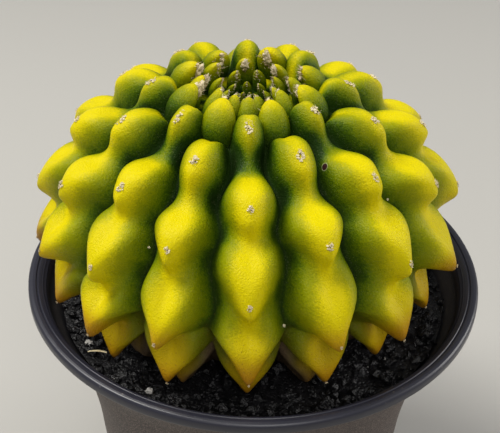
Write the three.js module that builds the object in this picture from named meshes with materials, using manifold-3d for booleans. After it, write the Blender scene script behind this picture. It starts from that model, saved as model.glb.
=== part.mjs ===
// A ribbed globular cactus in a round plastic pot with a flared lip.
//
// Millimetres, +Z up. The origin is the centre of the pot's foot, on the surface that it stands on,
// and -Y is the front. Heights written as "from the rim" are measured from the plane of the pot's lip.
//
// The stem is a loft. A meridian curve (STEM_TIPS) runs from the crown down to the soil through the
// tips of the noses. Each rib's crest follows that curve, and dips to a neck and swells into a nose,
// which ends in a narrow beak, once in every step. Neighbouring ribs are half a step apart, so their
// noses interlock. A row is a position down the rib. Young tubercles stand in the crown's hollow.
import * as THREE from "three";
import { mergeVertices } from "three/addons/utils/BufferGeometryUtils.js";
import Module from "manifold-3d";

const wasm = await Module();
wasm.setup();
const { lerp, smoothstep, clamp } = THREE.MathUtils;

// ---- Driving dimensions ----
const POT_HEIGHT = 105;
const POT_RIM_RADIUS = 70;
const POT_WALL = 1.8;
const POT_FOOT_RADIUS = 46;
const FOOT_RING_WIDTH = 5;
const FLOOR_RECESS = 2.6;
const FLOOR_THICKNESS = 2.2;
const DRAIN_RADIUS = 7;
const LIP_WIDTH = 3.2;
const LIP_STEP = 1.1;
const LIP_SKIRT = 3.4;
const FLARE_DEPTH = 45;
const NECK_RADIUS = 52.4;
const POT_SEGMENTS = 48;

const GRIT_LEVEL = 10.2;
const GRIT_DEPTH = 8;
const GRIT_RELIEF = 0.7;
const CLEARANCE = 0.4;

const STEM_SCALE = 1;
const STEM_OFFSET = new THREE.Vector2(-3.2, -1.4);
const RIB_COUNT = 16;
const RIB_TURN = THREE.MathUtils.degToRad(2);
const COLUMNS_PER_RIB = 6;
const ROWS_PER_STEP = 6;
const RIB_ZIGZAG = 0.1;
const CROWN_ZIGZAG = 0.18;
// How far up the rib a nose's lower edge lies at the groove, in steps, at the crown and low down.
const CROWN_LEAN = 0.12;
const LOW_LEAN = 0.6;
const FIRST_ROW = 0.5;
const LAST_ROW = 5.5;
const CROWN_FLOOR = 56;
const NOSE_SWELL = 0.7;

const ROOT_LENGTH = 52;
const ROOT_RADIUS = 8;
const SIDE_ROOTS = 6;
const SIDE_ROOT_LENGTH = 26;
const SIDE_ROOT_RADIUS = 1.6;

// ---- Stem curves ----
// [row, radius, height from the rim] of the noses' tips.
const STEM_TIPS = [
  [0, 13, 66.3],
  [0.5, 19.5, 65.6],
  [1, 29.5, 62.3],
  [1.5, 41, 56.4],
  [2, 51, 48.4],
  [2.5, 57.2, 39],
  [3, 62.2, 27.7],
  [3.5, 64.5, 17.4],
  [4, 61.6, 6.4],
  [4.5, 57.6, 0.4],
  [5, 52.8, -4.2],
  [5.5, 47, -9],
];
// [row, how far the groove lies under the tips]
const GROOVE_DEPTH = [
  [0.5, 9.5],
  [1.5, 12],
  [2.5, 13.5],
  [3.5, 14.5],
  [4.5, 15],
  [5.5, 11],
];
// [row, how far a neck lies under the tips]
const NECK_DEPTH = [
  [0.5, 5.5],
  [1.3, 5.5],
  [1.8, 4.8],
  [2.25, 4.4],
  [2.75, 5.6],
  [3.25, 8.2],
  [3.75, 10.5],
  [5.5, 11],
];
// [row, how far a beak reaches out of its nose]
const BEAK_REACH = [
  [0.5, 2],
  [1, 2.2],
  [2, 3.4],
  [2.5, 4.4],
  [3, 6.6],
  [3.5, 9],
  [4.5, 10],
  [5.5, 9],
];
// One step of a crest, from one nose's tip to the next, near the crown, on the side and at the soil:
// [share of the step, along, share of the neck's depth, share of the swell].
const CROWN_OUTLINE = [
  [0, 0, 0, 0],
  [0.08, 0.07, -0.3, 0],
  [0.18, 0.16, -0.75, 0],
  [0.28, 0.27, -1, 0],
  [0.38, 0.38, -0.98, 0],
  [0.5, 0.48, -0.72, 0],
  [0.62, 0.6, -0.3, 0.4],
  [0.75, 0.75, 0, 1],
  [0.88, 0.88, 0, 0.8],
  [1, 1, 0, 0],
];
const SIDE_OUTLINE = [
  [0, 0, 0, 0],
  [0.05, 0.045, -0.36, 0],
  [0.1, 0.09, -0.78, 0],
  [0.17, 0.16, -1, 0],
  [0.26, 0.26, -0.98, 0],
  [0.38, 0.38, -0.72, 0.1],
  [0.52, 0.52, -0.36, 0.6],
  [0.68, 0.68, -0.1, 1],
  [0.84, 0.84, 0, 0.8],
  [1, 1, 0, 0],
];
const LOW_OUTLINE = [
  [0, 0, 0, 0],
  [0.05, 0.02, -0.25, 0],
  [0.1, 0.06, -0.62, 0],
  [0.17, 0.13, -0.9, 0],
  [0.26, 0.26, -1, 0],
  [0.38, 0.38, -0.84, 0],
  [0.55, 0.54, -0.5, 0.3],
  [0.72, 0.71, -0.22, 0.6],
  [0.88, 0.87, -0.05, 0.4],
  [1, 1, 0, 0],
];
// Rings of young tubercles: [on odd ribs, radius at the base, radius at the tip, tip's height from
// the rim, width, thickness].
const YOUNG_RINGS = [
  [1, 21, 16, 66.5, 8, 7.5],
  [0, 14.5, 11.3, 65.6, 5.4, 5],
  [1, 10, 7.8, 63.8, 3.9, 3.6],
  [0, 6.2, 4.9, 61.5, 2.8, 2.6],
];
// How far each rib stands from its even place, from the front: [degrees round, rows down, size, rows
// further down at the soil].
const RIB_CHARACTER = [
  [0.5, -0.08, 1, 0.1],
  [-0.5, -0.1, 1, 0.15],
  [0, -0.12, 1, 0.15],
  [1, -0.06, 1.01, 0.15],
  [0, 0.02, 1.03, 0.1],
  [-1, 0.05, 1.03, 0],
  [1, -0.05, 1.01, 0.05],
  [0, 0.06, 0.99, 0],
  [-1.5, 0, 1, 0.05],
  [1, -0.06, 1.01, 0],
  [0.5, 0.05, 0.99, 0.1],
  [-1, 0.03, 1, 0],
  [1.5, -0.03, 1, -0.1],
  [1, -0.04, 0.99, -0.2],
  [3, -0.02, 1, -0.15],
  [1, -0.04, 1, 0.05],
];

// ---- Small helpers ----

// A smooth curve through rows of numbers whose first is the place along it.
function through(rows) {
  const last = rows.length - 1;
  return (at) => {
    const above = rows.findIndex((row) => row[0] > at);
    const i = clamp((above < 0 ? last : above) - 1, 0, last - 1);
    const [before, from, to, after] = [-1, 0, 1, 2].map((k) => rows[clamp(i + k, 0, last)]);
    const span = to[0] - from[0];
    const t = (at - from[0]) / span;
    const [t2, t3] = [t ** 2, t ** 3];
    return from.slice(1).map((value, k) => {
      const slopeFrom = ((to[k + 1] - before[k + 1]) / (to[0] - before[0])) * span;
      const slopeTo = ((after[k + 1] - value) / (after[0] - from[0])) * span;
      const start = (2 * t3 - 3 * t2 + 1) * value + (t3 - 2 * t2 + t) * slopeFrom;
      return start + (3 * t2 - 2 * t3) * to[k + 1] + (t3 - t2) * slopeTo;
    });
  };
}

function solidOf(geometry) {
  const bare = geometry.index ? geometry.toNonIndexed() : geometry.clone();
  for (const name of ["normal", "uv"]) bare.deleteAttribute(name);
  const merged = mergeVertices(bare, 1e-4);
  return new wasm.Manifold(
    new wasm.Mesh({
      numProp: 3,
      vertProperties: merged.attributes.position.array,
      triVerts: new Uint32Array(merged.index.array),
    }),
  );
}

function geometryOf(solid) {
  const mesh = solid.getMesh();
  const geometry = new THREE.BufferGeometry();
  geometry.setAttribute("position", new THREE.BufferAttribute(mesh.vertProperties, 3));
  geometry.setIndex(new THREE.BufferAttribute(mesh.triVerts, 1));
  return geometry;
}

// A closed profile of [radius, height] turned round Z.
function turned(profile, segments) {
  const points = profile.map(([r, z]) => new THREE.Vector2(r, z));
  const lathe = new THREE.LatheGeometry(points, segments);
  return lathe.rotateX(Math.PI / 2);
}

const plant = new THREE.Group();

function addNode(name, geometry, material, place) {
  const mesh = new THREE.Mesh(geometry, material);
  mesh.name = name;
  if (place) place(mesh);
  plant.add(mesh);
  return mesh;
}

// A repeatable pseudo-random number from 0 to 1, for things that lie where they fell.
function chance(n) {
  const x = Math.sin(n * 127.1 + 311.7) * 43758.5453;
  return x - Math.floor(x);
}

// ---- Materials ----
const potPlastic = new THREE.MeshStandardMaterial({ color: 0x2b2728, roughness: 0.55, metalness: 0 });
const peat = new THREE.MeshStandardMaterial({ color: 0x2a1d14, roughness: 0.95, metalness: 0 });
const lava = new THREE.MeshStandardMaterial({ color: 0x141416, roughness: 0.6, metalness: 0 });
const flesh = new THREE.MeshStandardMaterial({ color: 0xb9b412, roughness: 0.45, metalness: 0 });
const rootBark = new THREE.MeshStandardMaterial({ color: 0xa98a5c, roughness: 0.9, metalness: 0 });
const dryHusk = new THREE.MeshStandardMaterial({ color: 0xb39a70, roughness: 0.9, metalness: 0 });
const pumice = new THREE.MeshStandardMaterial({ color: 0xd8d6d0, roughness: 0.85, metalness: 0 });
const straw = new THREE.MeshStandardMaterial({ color: 0xcdbb8c, roughness: 0.7, metalness: 0 });

// ---- Pot ----
const flareShape = through([
  [LIP_SKIRT, POT_RIM_RADIUS - LIP_WIDTH],
  [12, POT_RIM_RADIUS - 8],
  [24, lerp(NECK_RADIUS, POT_RIM_RADIUS, 0.26)],
  [FLARE_DEPTH, NECK_RADIUS],
  [POT_HEIGHT - 40, lerp(POT_FOOT_RADIUS, NECK_RADIUS, 0.68)],
  [POT_HEIGHT, POT_FOOT_RADIUS],
]);
const wallRadius = (depth) => flareShape(depth)[0];
const FLOOR_TOP = FLOOR_RECESS + FLOOR_THICKNESS;
const FOOT_CHAMFER = 1;

// Depths below the rim at which the wall's curve has a corner, outside and in.
const WALL_DEPTHS = [LIP_SKIRT, 8, 12, 17, 24, 33, FLARE_DEPTH, 62, 82];

function potGeometry() {
  const top = POT_HEIGHT;
  const lipTop = POT_RIM_RADIUS - LIP_WIDTH;
  const innerLip = lipTop - POT_WALL;
  const ringInner = POT_FOOT_RADIUS - FOOT_RING_WIDTH;
  const profile = [
    [0, FLOOR_TOP],
    [0, FLOOR_RECESS],
    [ringInner, FLOOR_RECESS],
    [ringInner + FOOT_CHAMFER, 0],
    [POT_FOOT_RADIUS - FOOT_CHAMFER, 0],
    ...WALL_DEPTHS.toReversed().map((d) => [wallRadius(d), top - d]),
    [POT_RIM_RADIUS - 0.6, top - LIP_SKIRT],
    [POT_RIM_RADIUS, top - LIP_SKIRT + 0.7],
    [POT_RIM_RADIUS, top - 0.7],
    [POT_RIM_RADIUS - 0.8, top],
    [lipTop, top],
    [lipTop - 0.3, top - LIP_STEP],
    [innerLip, top - LIP_STEP - 0.8],
    ...WALL_DEPTHS.slice(1).map((d) => [wallRadius(d) - POT_WALL, top - d]),
    [wallRadius(POT_HEIGHT - FLOOR_TOP) - POT_WALL, FLOOR_TOP],
    [0, FLOOR_TOP],
  ];
  const shell = solidOf(turned(profile, POT_SEGMENTS));
  const drill = new THREE.CylinderGeometry(DRAIN_RADIUS, DRAIN_RADIUS, 4 * FLOOR_THICKNESS, 16);
  drill.rotateX(Math.PI / 2).translate(0, 0, FLOOR_RECESS + FLOOR_THICKNESS / 2);
  return geometryOf(shell.subtract(solidOf(drill)));
}

// ---- Stem ----
const tipCurve = through(STEM_TIPS);
const grooveDepth = through(GROOVE_DEPTH);
const neckDepth = through(NECK_DEPTH);
const beakReach = through(BEAK_REACH);
const outlines = [CROWN_OUTLINE, SIDE_OUTLINE, LOW_OUTLINE].map(through);
const BASE_RADIUS = 25;
const BASE_DEPTH = 22;

// A point of the tip curve, pushed outwards by some millimetres: radius, height from the rim.
function offTips(row, outwards) {
  const [r, z] = tipCurve(row);
  const [r1, z1] = tipCurve(row - 0.05);
  const [r2, z2] = tipCurve(row + 0.05);
  const along = new THREE.Vector2(r2 - r1, z2 - z1).normalize();
  return new THREE.Vector2(r - outwards * along.y, z + outwards * along.x);
}

// How many rows below its even place a rib's noses are at a row.
function rowsDown(rib, row) {
  const [, down, , droop] = RIB_CHARACTER[rib % RIB_COUNT];
  return down + droop * smoothstep(row, 2.5, 3.8);
}

function ribState(rib, row) {
  const [degrees, , size] = RIB_CHARACTER[rib % RIB_COUNT];
  const down = rowsDown(rib, row);
  const parity = rib % 2 ? 0.5 : 0;
  const local = row - parity - down;
  const step = Math.floor(local);
  return {
    azimuth: (rib / RIB_COUNT) * 2 * Math.PI + RIB_TURN + THREE.MathUtils.degToRad(degrees),
    down,
    first: step + parity + down,
    share: local - step,
    size,
  };
}

// How much of a nose's beak there is at a share of the step.
function beakShare(share, row) {
  const start = lerp(0.5, 0.3, smoothstep(row, 2.2, 3.6));
  return Math.max(smoothstep(share, start, 0.98), 1 - smoothstep(share, 0, 0.15));
}

// How far to each side the beak reaches, as a share of the rib's half width.
function beakWidth(share, row) {
  const start = lerp(0.4, 0.15, smoothstep(row, 2.2, 3.6));
  const point = lerp(1, 0.45, smoothstep(row, 1.4, 2.8));
  return lerp(1.1, point, Math.max(smoothstep(share, start, 1.1), 1 - smoothstep(share, 0, 0.2)));
}

// A rib's body without the beak, and the beak's reach from there. The lean points a nose.
function crestAt(rib, row, lean, inflate) {
  const { first, share, size, down } = ribState(rib, row + lean);
  const [crown, side, low] = outlines.map((outline) => outline(share));
  const [along, neck, swell] = crown.map((value, k) => {
    const upper = lerp(value, side[k], smoothstep(row, 1.3, 2.3));
    return lerp(upper, low[k], smoothstep(row, 2.7, 3.5));
  });
  const at = clamp(first + along - lean, FIRST_ROW, LAST_ROW);
  const out = neck * neckDepth(row)[0] + swell * NOSE_SWELL + inflate;
  const tip = offTips(at, out);
  const body = offTips(at, out - beakReach(row)[0] * beakShare(share, row));
  const shown = rib % 2 ? smoothstep(row - down, 0.72, 1) : smoothstep(row - down, 0.42, 0.64);
  const scale = new THREE.Vector2(size, 1);
  const beak = tip.sub(body).multiply(scale).multiplyScalar(shown);
  const floor = new THREE.Vector2(tipCurve(row)[0], CROWN_FLOOR + inflate);
  return { body: floor.lerp(body.multiply(scale), shown), beak };
}

// Where the groove after a rib lies: it swings towards whichever rib is at its neck.
function grooveAzimuth(rib, row) {
  const { azimuth, share } = ribState(rib, row);
  const middle = (azimuth + ribState(rib + 1, row).azimuth) / 2;
  const low = smoothstep(row, 1.1, 2.2);
  const swing = lerp(CROWN_ZIGZAG, RIB_ZIGZAG, low) * Math.cos(2 * Math.PI * (share - lerp(0.25, 0, low)));
  return middle - (Math.PI / RIB_COUNT) * swing;
}

// A point of the skin at a place across a rib, from -1 to 1, and down it.
function stemPoint(rib, across, row, inflate = 0) {
  const { azimuth, share } = ribState(rib, row);
  const edge = across < 0 ? grooveAzimuth(rib + RIB_COUNT - 1, row) : grooveAzimuth(rib, row);
  const swing = THREE.MathUtils.euclideanModulo(across < 0 ? azimuth - edge : edge - azimuth, 2 * Math.PI);
  const place = new THREE.Vector2(tipCurve(row)[0], CROWN_FLOOR + inflate);
  place.lerp(offTips(row, inflate - grooveDepth(row)[0]), smoothstep(row, 0.42, 0.9));
  const lean = Math.abs(across) ** 1.3 * lerp(CROWN_LEAN, LOW_LEAN, smoothstep(row, 1.4, 3));
  const { body, beak } = crestAt(rib, row, lean, inflate);
  const side = smoothstep(row, 0.9, 1.9);
  place.lerp(body, (1 - Math.abs(across) ** lerp(3, 2.3, side)) ** lerp(0.56, 0.68, side));
  place.addScaledVector(beak, Math.max(0, 1 - (across / beakWidth(share, row)) ** 2) ** 1.4);
  const turn = azimuth + across * swing;
  const r = Math.max(0.4, place.x) * STEM_SCALE;
  return [
    STEM_OFFSET.x + r * Math.sin(turn),
    STEM_OFFSET.y - r * Math.cos(turn),
    POT_HEIGHT + place.y * STEM_SCALE,
  ];
}

function stemGeometry(inflate = 0) {
  const columns = RIB_COUNT * COLUMNS_PER_RIB;
  const rings = [];
  for (let j = 0; j <= (LAST_ROW - FIRST_ROW) * ROWS_PER_STEP; j++) {
    const row = FIRST_ROW + j / ROWS_PER_STEP;
    const ring = [];
    for (let c = 0; c < columns; c++) {
      const rib = Math.floor(c / COLUMNS_PER_RIB);
      const even = ((c % COLUMNS_PER_RIB) / COLUMNS_PER_RIB) * 2 - 1;
      const across = Math.sign(even) * Math.abs(even) ** 1.2;
      ring.push(stemPoint(rib, across, row, inflate));
    }
    rings.push(ring);
  }
  // Below the last noses the stem draws in to the soil.
  const lowest = rings.at(-1);
  const baseHeight = POT_HEIGHT - BASE_DEPTH * STEM_SCALE - inflate;
  for (const share of [0.45, 1]) {
    rings.push(
      lowest.map(([x, y, z]) => {
        const arm = new THREE.Vector2(x, y).sub(STEM_OFFSET);
        const reach = lerp(arm.length(), BASE_RADIUS * STEM_SCALE + inflate, share);
        arm.setLength(reach).add(STEM_OFFSET);
        return [arm.x, arm.y, lerp(z, baseHeight, share)];
      }),
    );
  }
  const positions = rings.flat(2);
  const top = rings.length * columns;
  const { x, y } = STEM_OFFSET;
  positions.push(x, y, POT_HEIGHT + CROWN_FLOOR * STEM_SCALE + inflate, x, y, baseHeight);
  const index = [];
  for (let j = 0; j + 1 < rings.length; j++)
    for (let c = 0; c < columns; c++) {
      const [a, b] = [j * columns + c, j * columns + ((c + 1) % columns)];
      index.push(a, a + columns, b, b, a + columns, b + columns);
    }
  for (let c = 0; c < columns; c++) {
    const last = (rings.length - 1) * columns;
    index.push(top, c, (c + 1) % columns);
    index.push(top + 1, last + ((c + 1) % columns), last + c);
  }
  const geometry = new THREE.BufferGeometry();
  geometry.setAttribute("position", new THREE.Float32BufferAttribute(positions, 3));
  geometry.setIndex(index);
  return geometry;
}

// ---- Roots ----
function rootSolid(inflate = 0) {
  const crown = POT_HEIGHT - BASE_DEPTH * STEM_SCALE - CLEARANCE;
  const radius = ROOT_RADIUS + inflate;
  const profile = [
    [0, crown - ROOT_LENGTH - inflate],
    [1.4 + inflate, crown - ROOT_LENGTH],
    [radius * 0.35, crown - ROOT_LENGTH * 0.7],
    [radius * 0.75, crown - ROOT_LENGTH * 0.35],
    [radius, crown - ROOT_LENGTH * 0.12],
    [radius, crown + inflate],
    [0, crown + inflate],
  ];
  let solid = solidOf(turned(profile, 12));
  for (let k = 0; k < SIDE_ROOTS; k++) {
    const side = new THREE.CylinderGeometry(
      SIDE_ROOT_RADIUS + inflate,
      SIDE_ROOT_RADIUS * 0.4 + inflate,
      SIDE_ROOT_LENGTH + 2 * inflate,
      6,
    );
    side.translate(0, -SIDE_ROOT_LENGTH / 2, 0);
    side.rotateX(Math.PI / 2 - THREE.MathUtils.degToRad(62));
    side.rotateZ((k / SIDE_ROOTS) * 2 * Math.PI + chance(k));
    side.translate(0, 0, crown - ROOT_LENGTH * (0.1 + 0.09 * k));
    solid = solid.add(solidOf(side));
  }
  return solid.translate([STEM_OFFSET.x, STEM_OFFSET.y, 0]);
}

// ---- Soil ----
const GRIT_TOP = POT_HEIGHT - GRIT_LEVEL;
const MIX_TOP = GRIT_TOP - GRIT_DEPTH;
const stemRoom = solidOf(stemGeometry(CLEARANCE));
const fillRadius = (z) => wallRadius(POT_HEIGHT - z) - POT_WALL - CLEARANCE;

function mixGeometry() {
  const bottom = FLOOR_TOP + CLEARANCE;
  const top = MIX_TOP - CLEARANCE;
  const corners = WALL_DEPTHS.map((d) => POT_HEIGHT - d).filter((z) => z > bottom && z < top);
  const heights = [bottom, ...corners.toReversed(), top];
  const profile = [[0, bottom], ...heights.map((z) => [fillRadius(z) - 0.6, z]), [0, top]];
  const mix = solidOf(turned(profile, POT_SEGMENTS));
  return geometryOf(mix.subtract(stemRoom).subtract(rootSolid(CLEARANCE)));
}

function gritGeometry() {
  const inner = BASE_RADIUS * STEM_SCALE;
  const outerTop = fillRadius(GRIT_TOP) - 0.5;
  const rings = [inner, (inner + outerTop) / 2, outerTop - 7, outerTop];
  const profile = [
    [0, MIX_TOP],
    [fillRadius(MIX_TOP) - 0.5, MIX_TOP],
    ...rings.toReversed().map((r) => [r, GRIT_TOP]),
    [0, GRIT_TOP],
  ];
  const geometry = turned(profile, POT_SEGMENTS);
  const place = geometry.attributes.position;
  for (let i = 0; i < place.count; i++) {
    const [x, y, z] = [place.getX(i), place.getY(i), place.getZ(i)];
    if (z < GRIT_TOP - 0.01 || Math.hypot(x, y) > outerTop - 1 || Math.hypot(x, y) < 1) continue;
    place.setZ(i, z - GRIT_RELIEF * chance(Math.round(x * 10) + Math.round(y * 7)));
  }
  return geometryOf(solidOf(geometry).subtract(stemRoom));
}

// ---- Crown: young tubercles, and the dry flowers that stick to the tips of some ----
const YOUNG_SINK = 1.5;
const HUSK_LENGTH = 3.6;
const HUSK_WIDTH = 2.2;
const HUSK_PLACES = [
  // [ring of young tubercles, rib]
  [0, 7],
  [0, 11],
  [0, 13],
  [1, 8],
  [1, 12],
  [1, 6],
];

function youngEnds(ring, rib) {
  const [, baseRadius, tipRadius, tipHeight] = YOUNG_RINGS[ring];
  const turn = ribState(rib, 1).azimuth;
  const at = (r, z) => {
    const reach = r * STEM_SCALE;
    const height = POT_HEIGHT + z * STEM_SCALE;
    return new THREE.Vector3(
      STEM_OFFSET.x + reach * Math.sin(turn),
      STEM_OFFSET.y - reach * Math.cos(turn),
      height,
    );
  };
  return { turn, base: at(baseRadius, CROWN_FLOOR - YOUNG_SINK), tip: at(tipRadius, tipHeight) };
}

function youngTubercle(ring, rib) {
  const [, , , , width, thickness] = YOUNG_RINGS[ring];
  const { turn, base, tip } = youngEnds(ring, rib);
  const up = tip.clone().sub(base);
  const side = new THREE.Vector3(Math.cos(turn), Math.sin(turn), 0);
  const out = new THREE.Vector3().crossVectors(side, up).normalize();
  const bulb = new THREE.SphereGeometry(1, 8, 6);
  bulb.scale((width / 2) * STEM_SCALE, up.length(), (thickness / 2) * STEM_SCALE);
  bulb.applyMatrix4(new THREE.Matrix4().makeBasis(side, up.normalize(), out));
  return solidOf(bulb.translate(base.x, base.y, base.z));
}

function wholeStem() {
  let solid = solidOf(stemGeometry());
  YOUNG_RINGS.forEach(([odd], ring) => {
    for (let rib = odd; rib < RIB_COUNT; rib += 2) solid = solid.add(youngTubercle(ring, rib));
  });
  return geometryOf(solid);
}

function addHusks() {
  HUSK_PLACES.forEach(([ring, rib], k) => {
    const { base, tip } = youngEnds(ring, rib);
    const up = tip.clone().sub(base).normalize();
    const husk = new THREE.ConeGeometry(HUSK_WIDTH / 2, HUSK_LENGTH, 6);
    addNode(`flower_remnant_${k + 1}`, husk, dryHusk, (mesh) => {
      mesh.quaternion.setFromUnitVectors(new THREE.Vector3(0, 1, 0), up);
      mesh.position.copy(tip).addScaledVector(up, HUSK_LENGTH / 2 + CLEARANCE);
    });
  });
}

// ---- Loose things on the grit ----
const STONE_PLACES = [
  // [degrees round from the front, size]
  [68, 5.4],
  [76, 4.6],
  [44, 4.4],
  [-22, 4.2],
  [22, 4.6],
  [128, 5],
  [200, 4.6],
  [-100, 4.8],
];
const PUMICE_PLACES = [
  [-30, 2.2],
  [-58, 2.4],
  [160, 2.2],
];
const STRAW_DEGREES = -52;
const STRAW_LENGTH = 7;

function addLoose(name, geometry, material, degrees, height) {
  const turn = THREE.MathUtils.degToRad(degrees);
  const r = fillRadius(GRIT_TOP) - 4;
  addNode(name, geometry, material, (mesh) => {
    mesh.position.set(r * Math.sin(turn), -r * Math.cos(turn), GRIT_TOP + height + CLEARANCE);
    mesh.rotation.z = turn;
  });
}

function pebble(size, seed) {
  const stone = new THREE.IcosahedronGeometry(size / 2, 0);
  stone.scale(1, 0.7 + 0.25 * chance(seed), 0.6 + 0.2 * chance(seed + 9));
  stone.rotateZ(seed);
  return stone;
}

function addLooseThings() {
  const name = (word, k) => `${word}_${k + 1}`;
  STONE_PLACES.forEach(([degrees, size], k) => {
    addLoose(name("lava_stone", k), pebble(size, k), lava, degrees, size * 0.42);
  });
  PUMICE_PLACES.forEach(([degrees, size], k) => {
    addLoose(name("pumice_grain", k), pebble(size, k + 30), pumice, degrees, size * 0.42);
  });
  const stalk = new THREE.CylinderGeometry(0.45, 0.35, STRAW_LENGTH, 6);
  stalk.rotateZ(Math.PI / 2 - 0.5);
  stalk.rotateX(Math.PI / 2);
  addLoose("dry_straw", stalk, straw, STRAW_DEGREES, 2.4);
}

addNode("pot", potGeometry(), potPlastic);
addNode("potting_mix", mixGeometry(), peat);
addNode("grit_layer", gritGeometry(), lava);
addNode("cactus_stem", wholeStem(), flesh);
addNode("taproot", geometryOf(rootSolid()), rootBark);
addHusks();
addLooseThings();

export default plant;
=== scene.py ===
"""A potted globular cactus: the looks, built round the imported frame.

Sizes inside the classes are millimetres in the frame's own axes: +Z up, -Y the front, and the
origin at the middle of the pot's foot. They become metres where a mesh is made.
"""

import bisect
import logging
import math
import random
from dataclasses import dataclass, field

import bmesh
import bpy
from mathutils import Euler, Matrix, Vector, noise
from mathutils.bvhtree import BVHTree

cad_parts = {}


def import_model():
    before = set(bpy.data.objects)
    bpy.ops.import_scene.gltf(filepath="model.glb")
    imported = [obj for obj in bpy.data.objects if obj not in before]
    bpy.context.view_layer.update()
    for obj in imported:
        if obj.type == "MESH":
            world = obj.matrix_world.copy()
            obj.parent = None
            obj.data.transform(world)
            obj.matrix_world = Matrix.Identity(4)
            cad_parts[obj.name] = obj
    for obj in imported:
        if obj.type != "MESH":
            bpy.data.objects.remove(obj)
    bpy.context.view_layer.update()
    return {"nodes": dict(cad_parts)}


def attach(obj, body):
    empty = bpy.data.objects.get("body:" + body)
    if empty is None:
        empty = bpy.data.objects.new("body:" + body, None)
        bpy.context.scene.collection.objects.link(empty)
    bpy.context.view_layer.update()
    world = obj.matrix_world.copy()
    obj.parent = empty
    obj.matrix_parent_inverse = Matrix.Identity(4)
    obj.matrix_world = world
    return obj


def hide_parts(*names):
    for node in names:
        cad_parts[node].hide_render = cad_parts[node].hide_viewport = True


MM = 0.001
BODY = "root"

log = logging.getLogger("cactus")


# ---- Shading -------------------------------------------------------------------------------


class Wire:
    """A shader value. Calculating with it adds Math nodes."""

    def __init__(self, shader: "Shader", socket: bpy.types.NodeSocket) -> None:
        """Wraps an output socket of the shader's tree."""
        self.shader = shader
        self.socket = socket

    def _math(self, operation: str, *values: "Wire | float") -> "Wire":
        """Adds one Math node over the given values.

        Args:
            operation: what the node does.
            *values: its inputs, in order.

        Returns:
            The node's result.
        """
        node = self.shader.node("ShaderNodeMath", {"operation": operation})
        for socket, value in zip(node.inputs, values):
            self.shader.feed(socket, value)
        return Wire(self.shader, node.outputs[0])

    def __add__(self, other: "Wire | float") -> "Wire":
        """self + other."""
        return self._math("ADD", self, other)

    def __radd__(self, other: float) -> "Wire":
        """other + self."""
        return self._math("ADD", other, self)

    def __sub__(self, other: "Wire | float") -> "Wire":
        """self - other."""
        return self._math("SUBTRACT", self, other)

    def __rsub__(self, other: float) -> "Wire":
        """other - self."""
        return self._math("SUBTRACT", other, self)

    def __mul__(self, other: "Wire | float") -> "Wire":
        """self * other."""
        return self._math("MULTIPLY", self, other)

    def __rmul__(self, other: float) -> "Wire":
        """other * self."""
        return self._math("MULTIPLY", other, self)

    def __pow__(self, other: "Wire | float") -> "Wire":
        """self ** other."""
        return self._math("POWER", self, other)

    def most(self, other: "Wire | float") -> "Wire":
        """The larger of the two."""
        return self._math("MAXIMUM", self, other)

    def least(self, other: "Wire | float") -> "Wire":
        """The smaller of the two."""
        return self._math("MINIMUM", self, other)

    def sine(self) -> "Wire":
        """The sine of the value."""
        return self._math("SINE", self)

    def step(self, low: float, high: float) -> "Wire":
        """A smooth rise from 0 at low to 1 at high, or a fall where high is the lower.

        Args:
            low: the value that gives 0.
            high: the value that gives 1.

        Returns:
            The eased value.
        """
        node = self.shader.node("ShaderNodeMapRange", {"interpolation_type": "SMOOTHSTEP"})
        rising = high > low
        for name, value in {
            "Value": self,
            "From Min": low if rising else high,
            "From Max": high if rising else low,
            "To Min": 0.0 if rising else 1.0,
            "To Max": 1.0 if rising else 0.0,
        }.items():
            self.shader.feed(node.inputs[name], value)
        return Wire(self.shader, node.outputs["Result"])


Colour = tuple[float, float, float]


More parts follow.
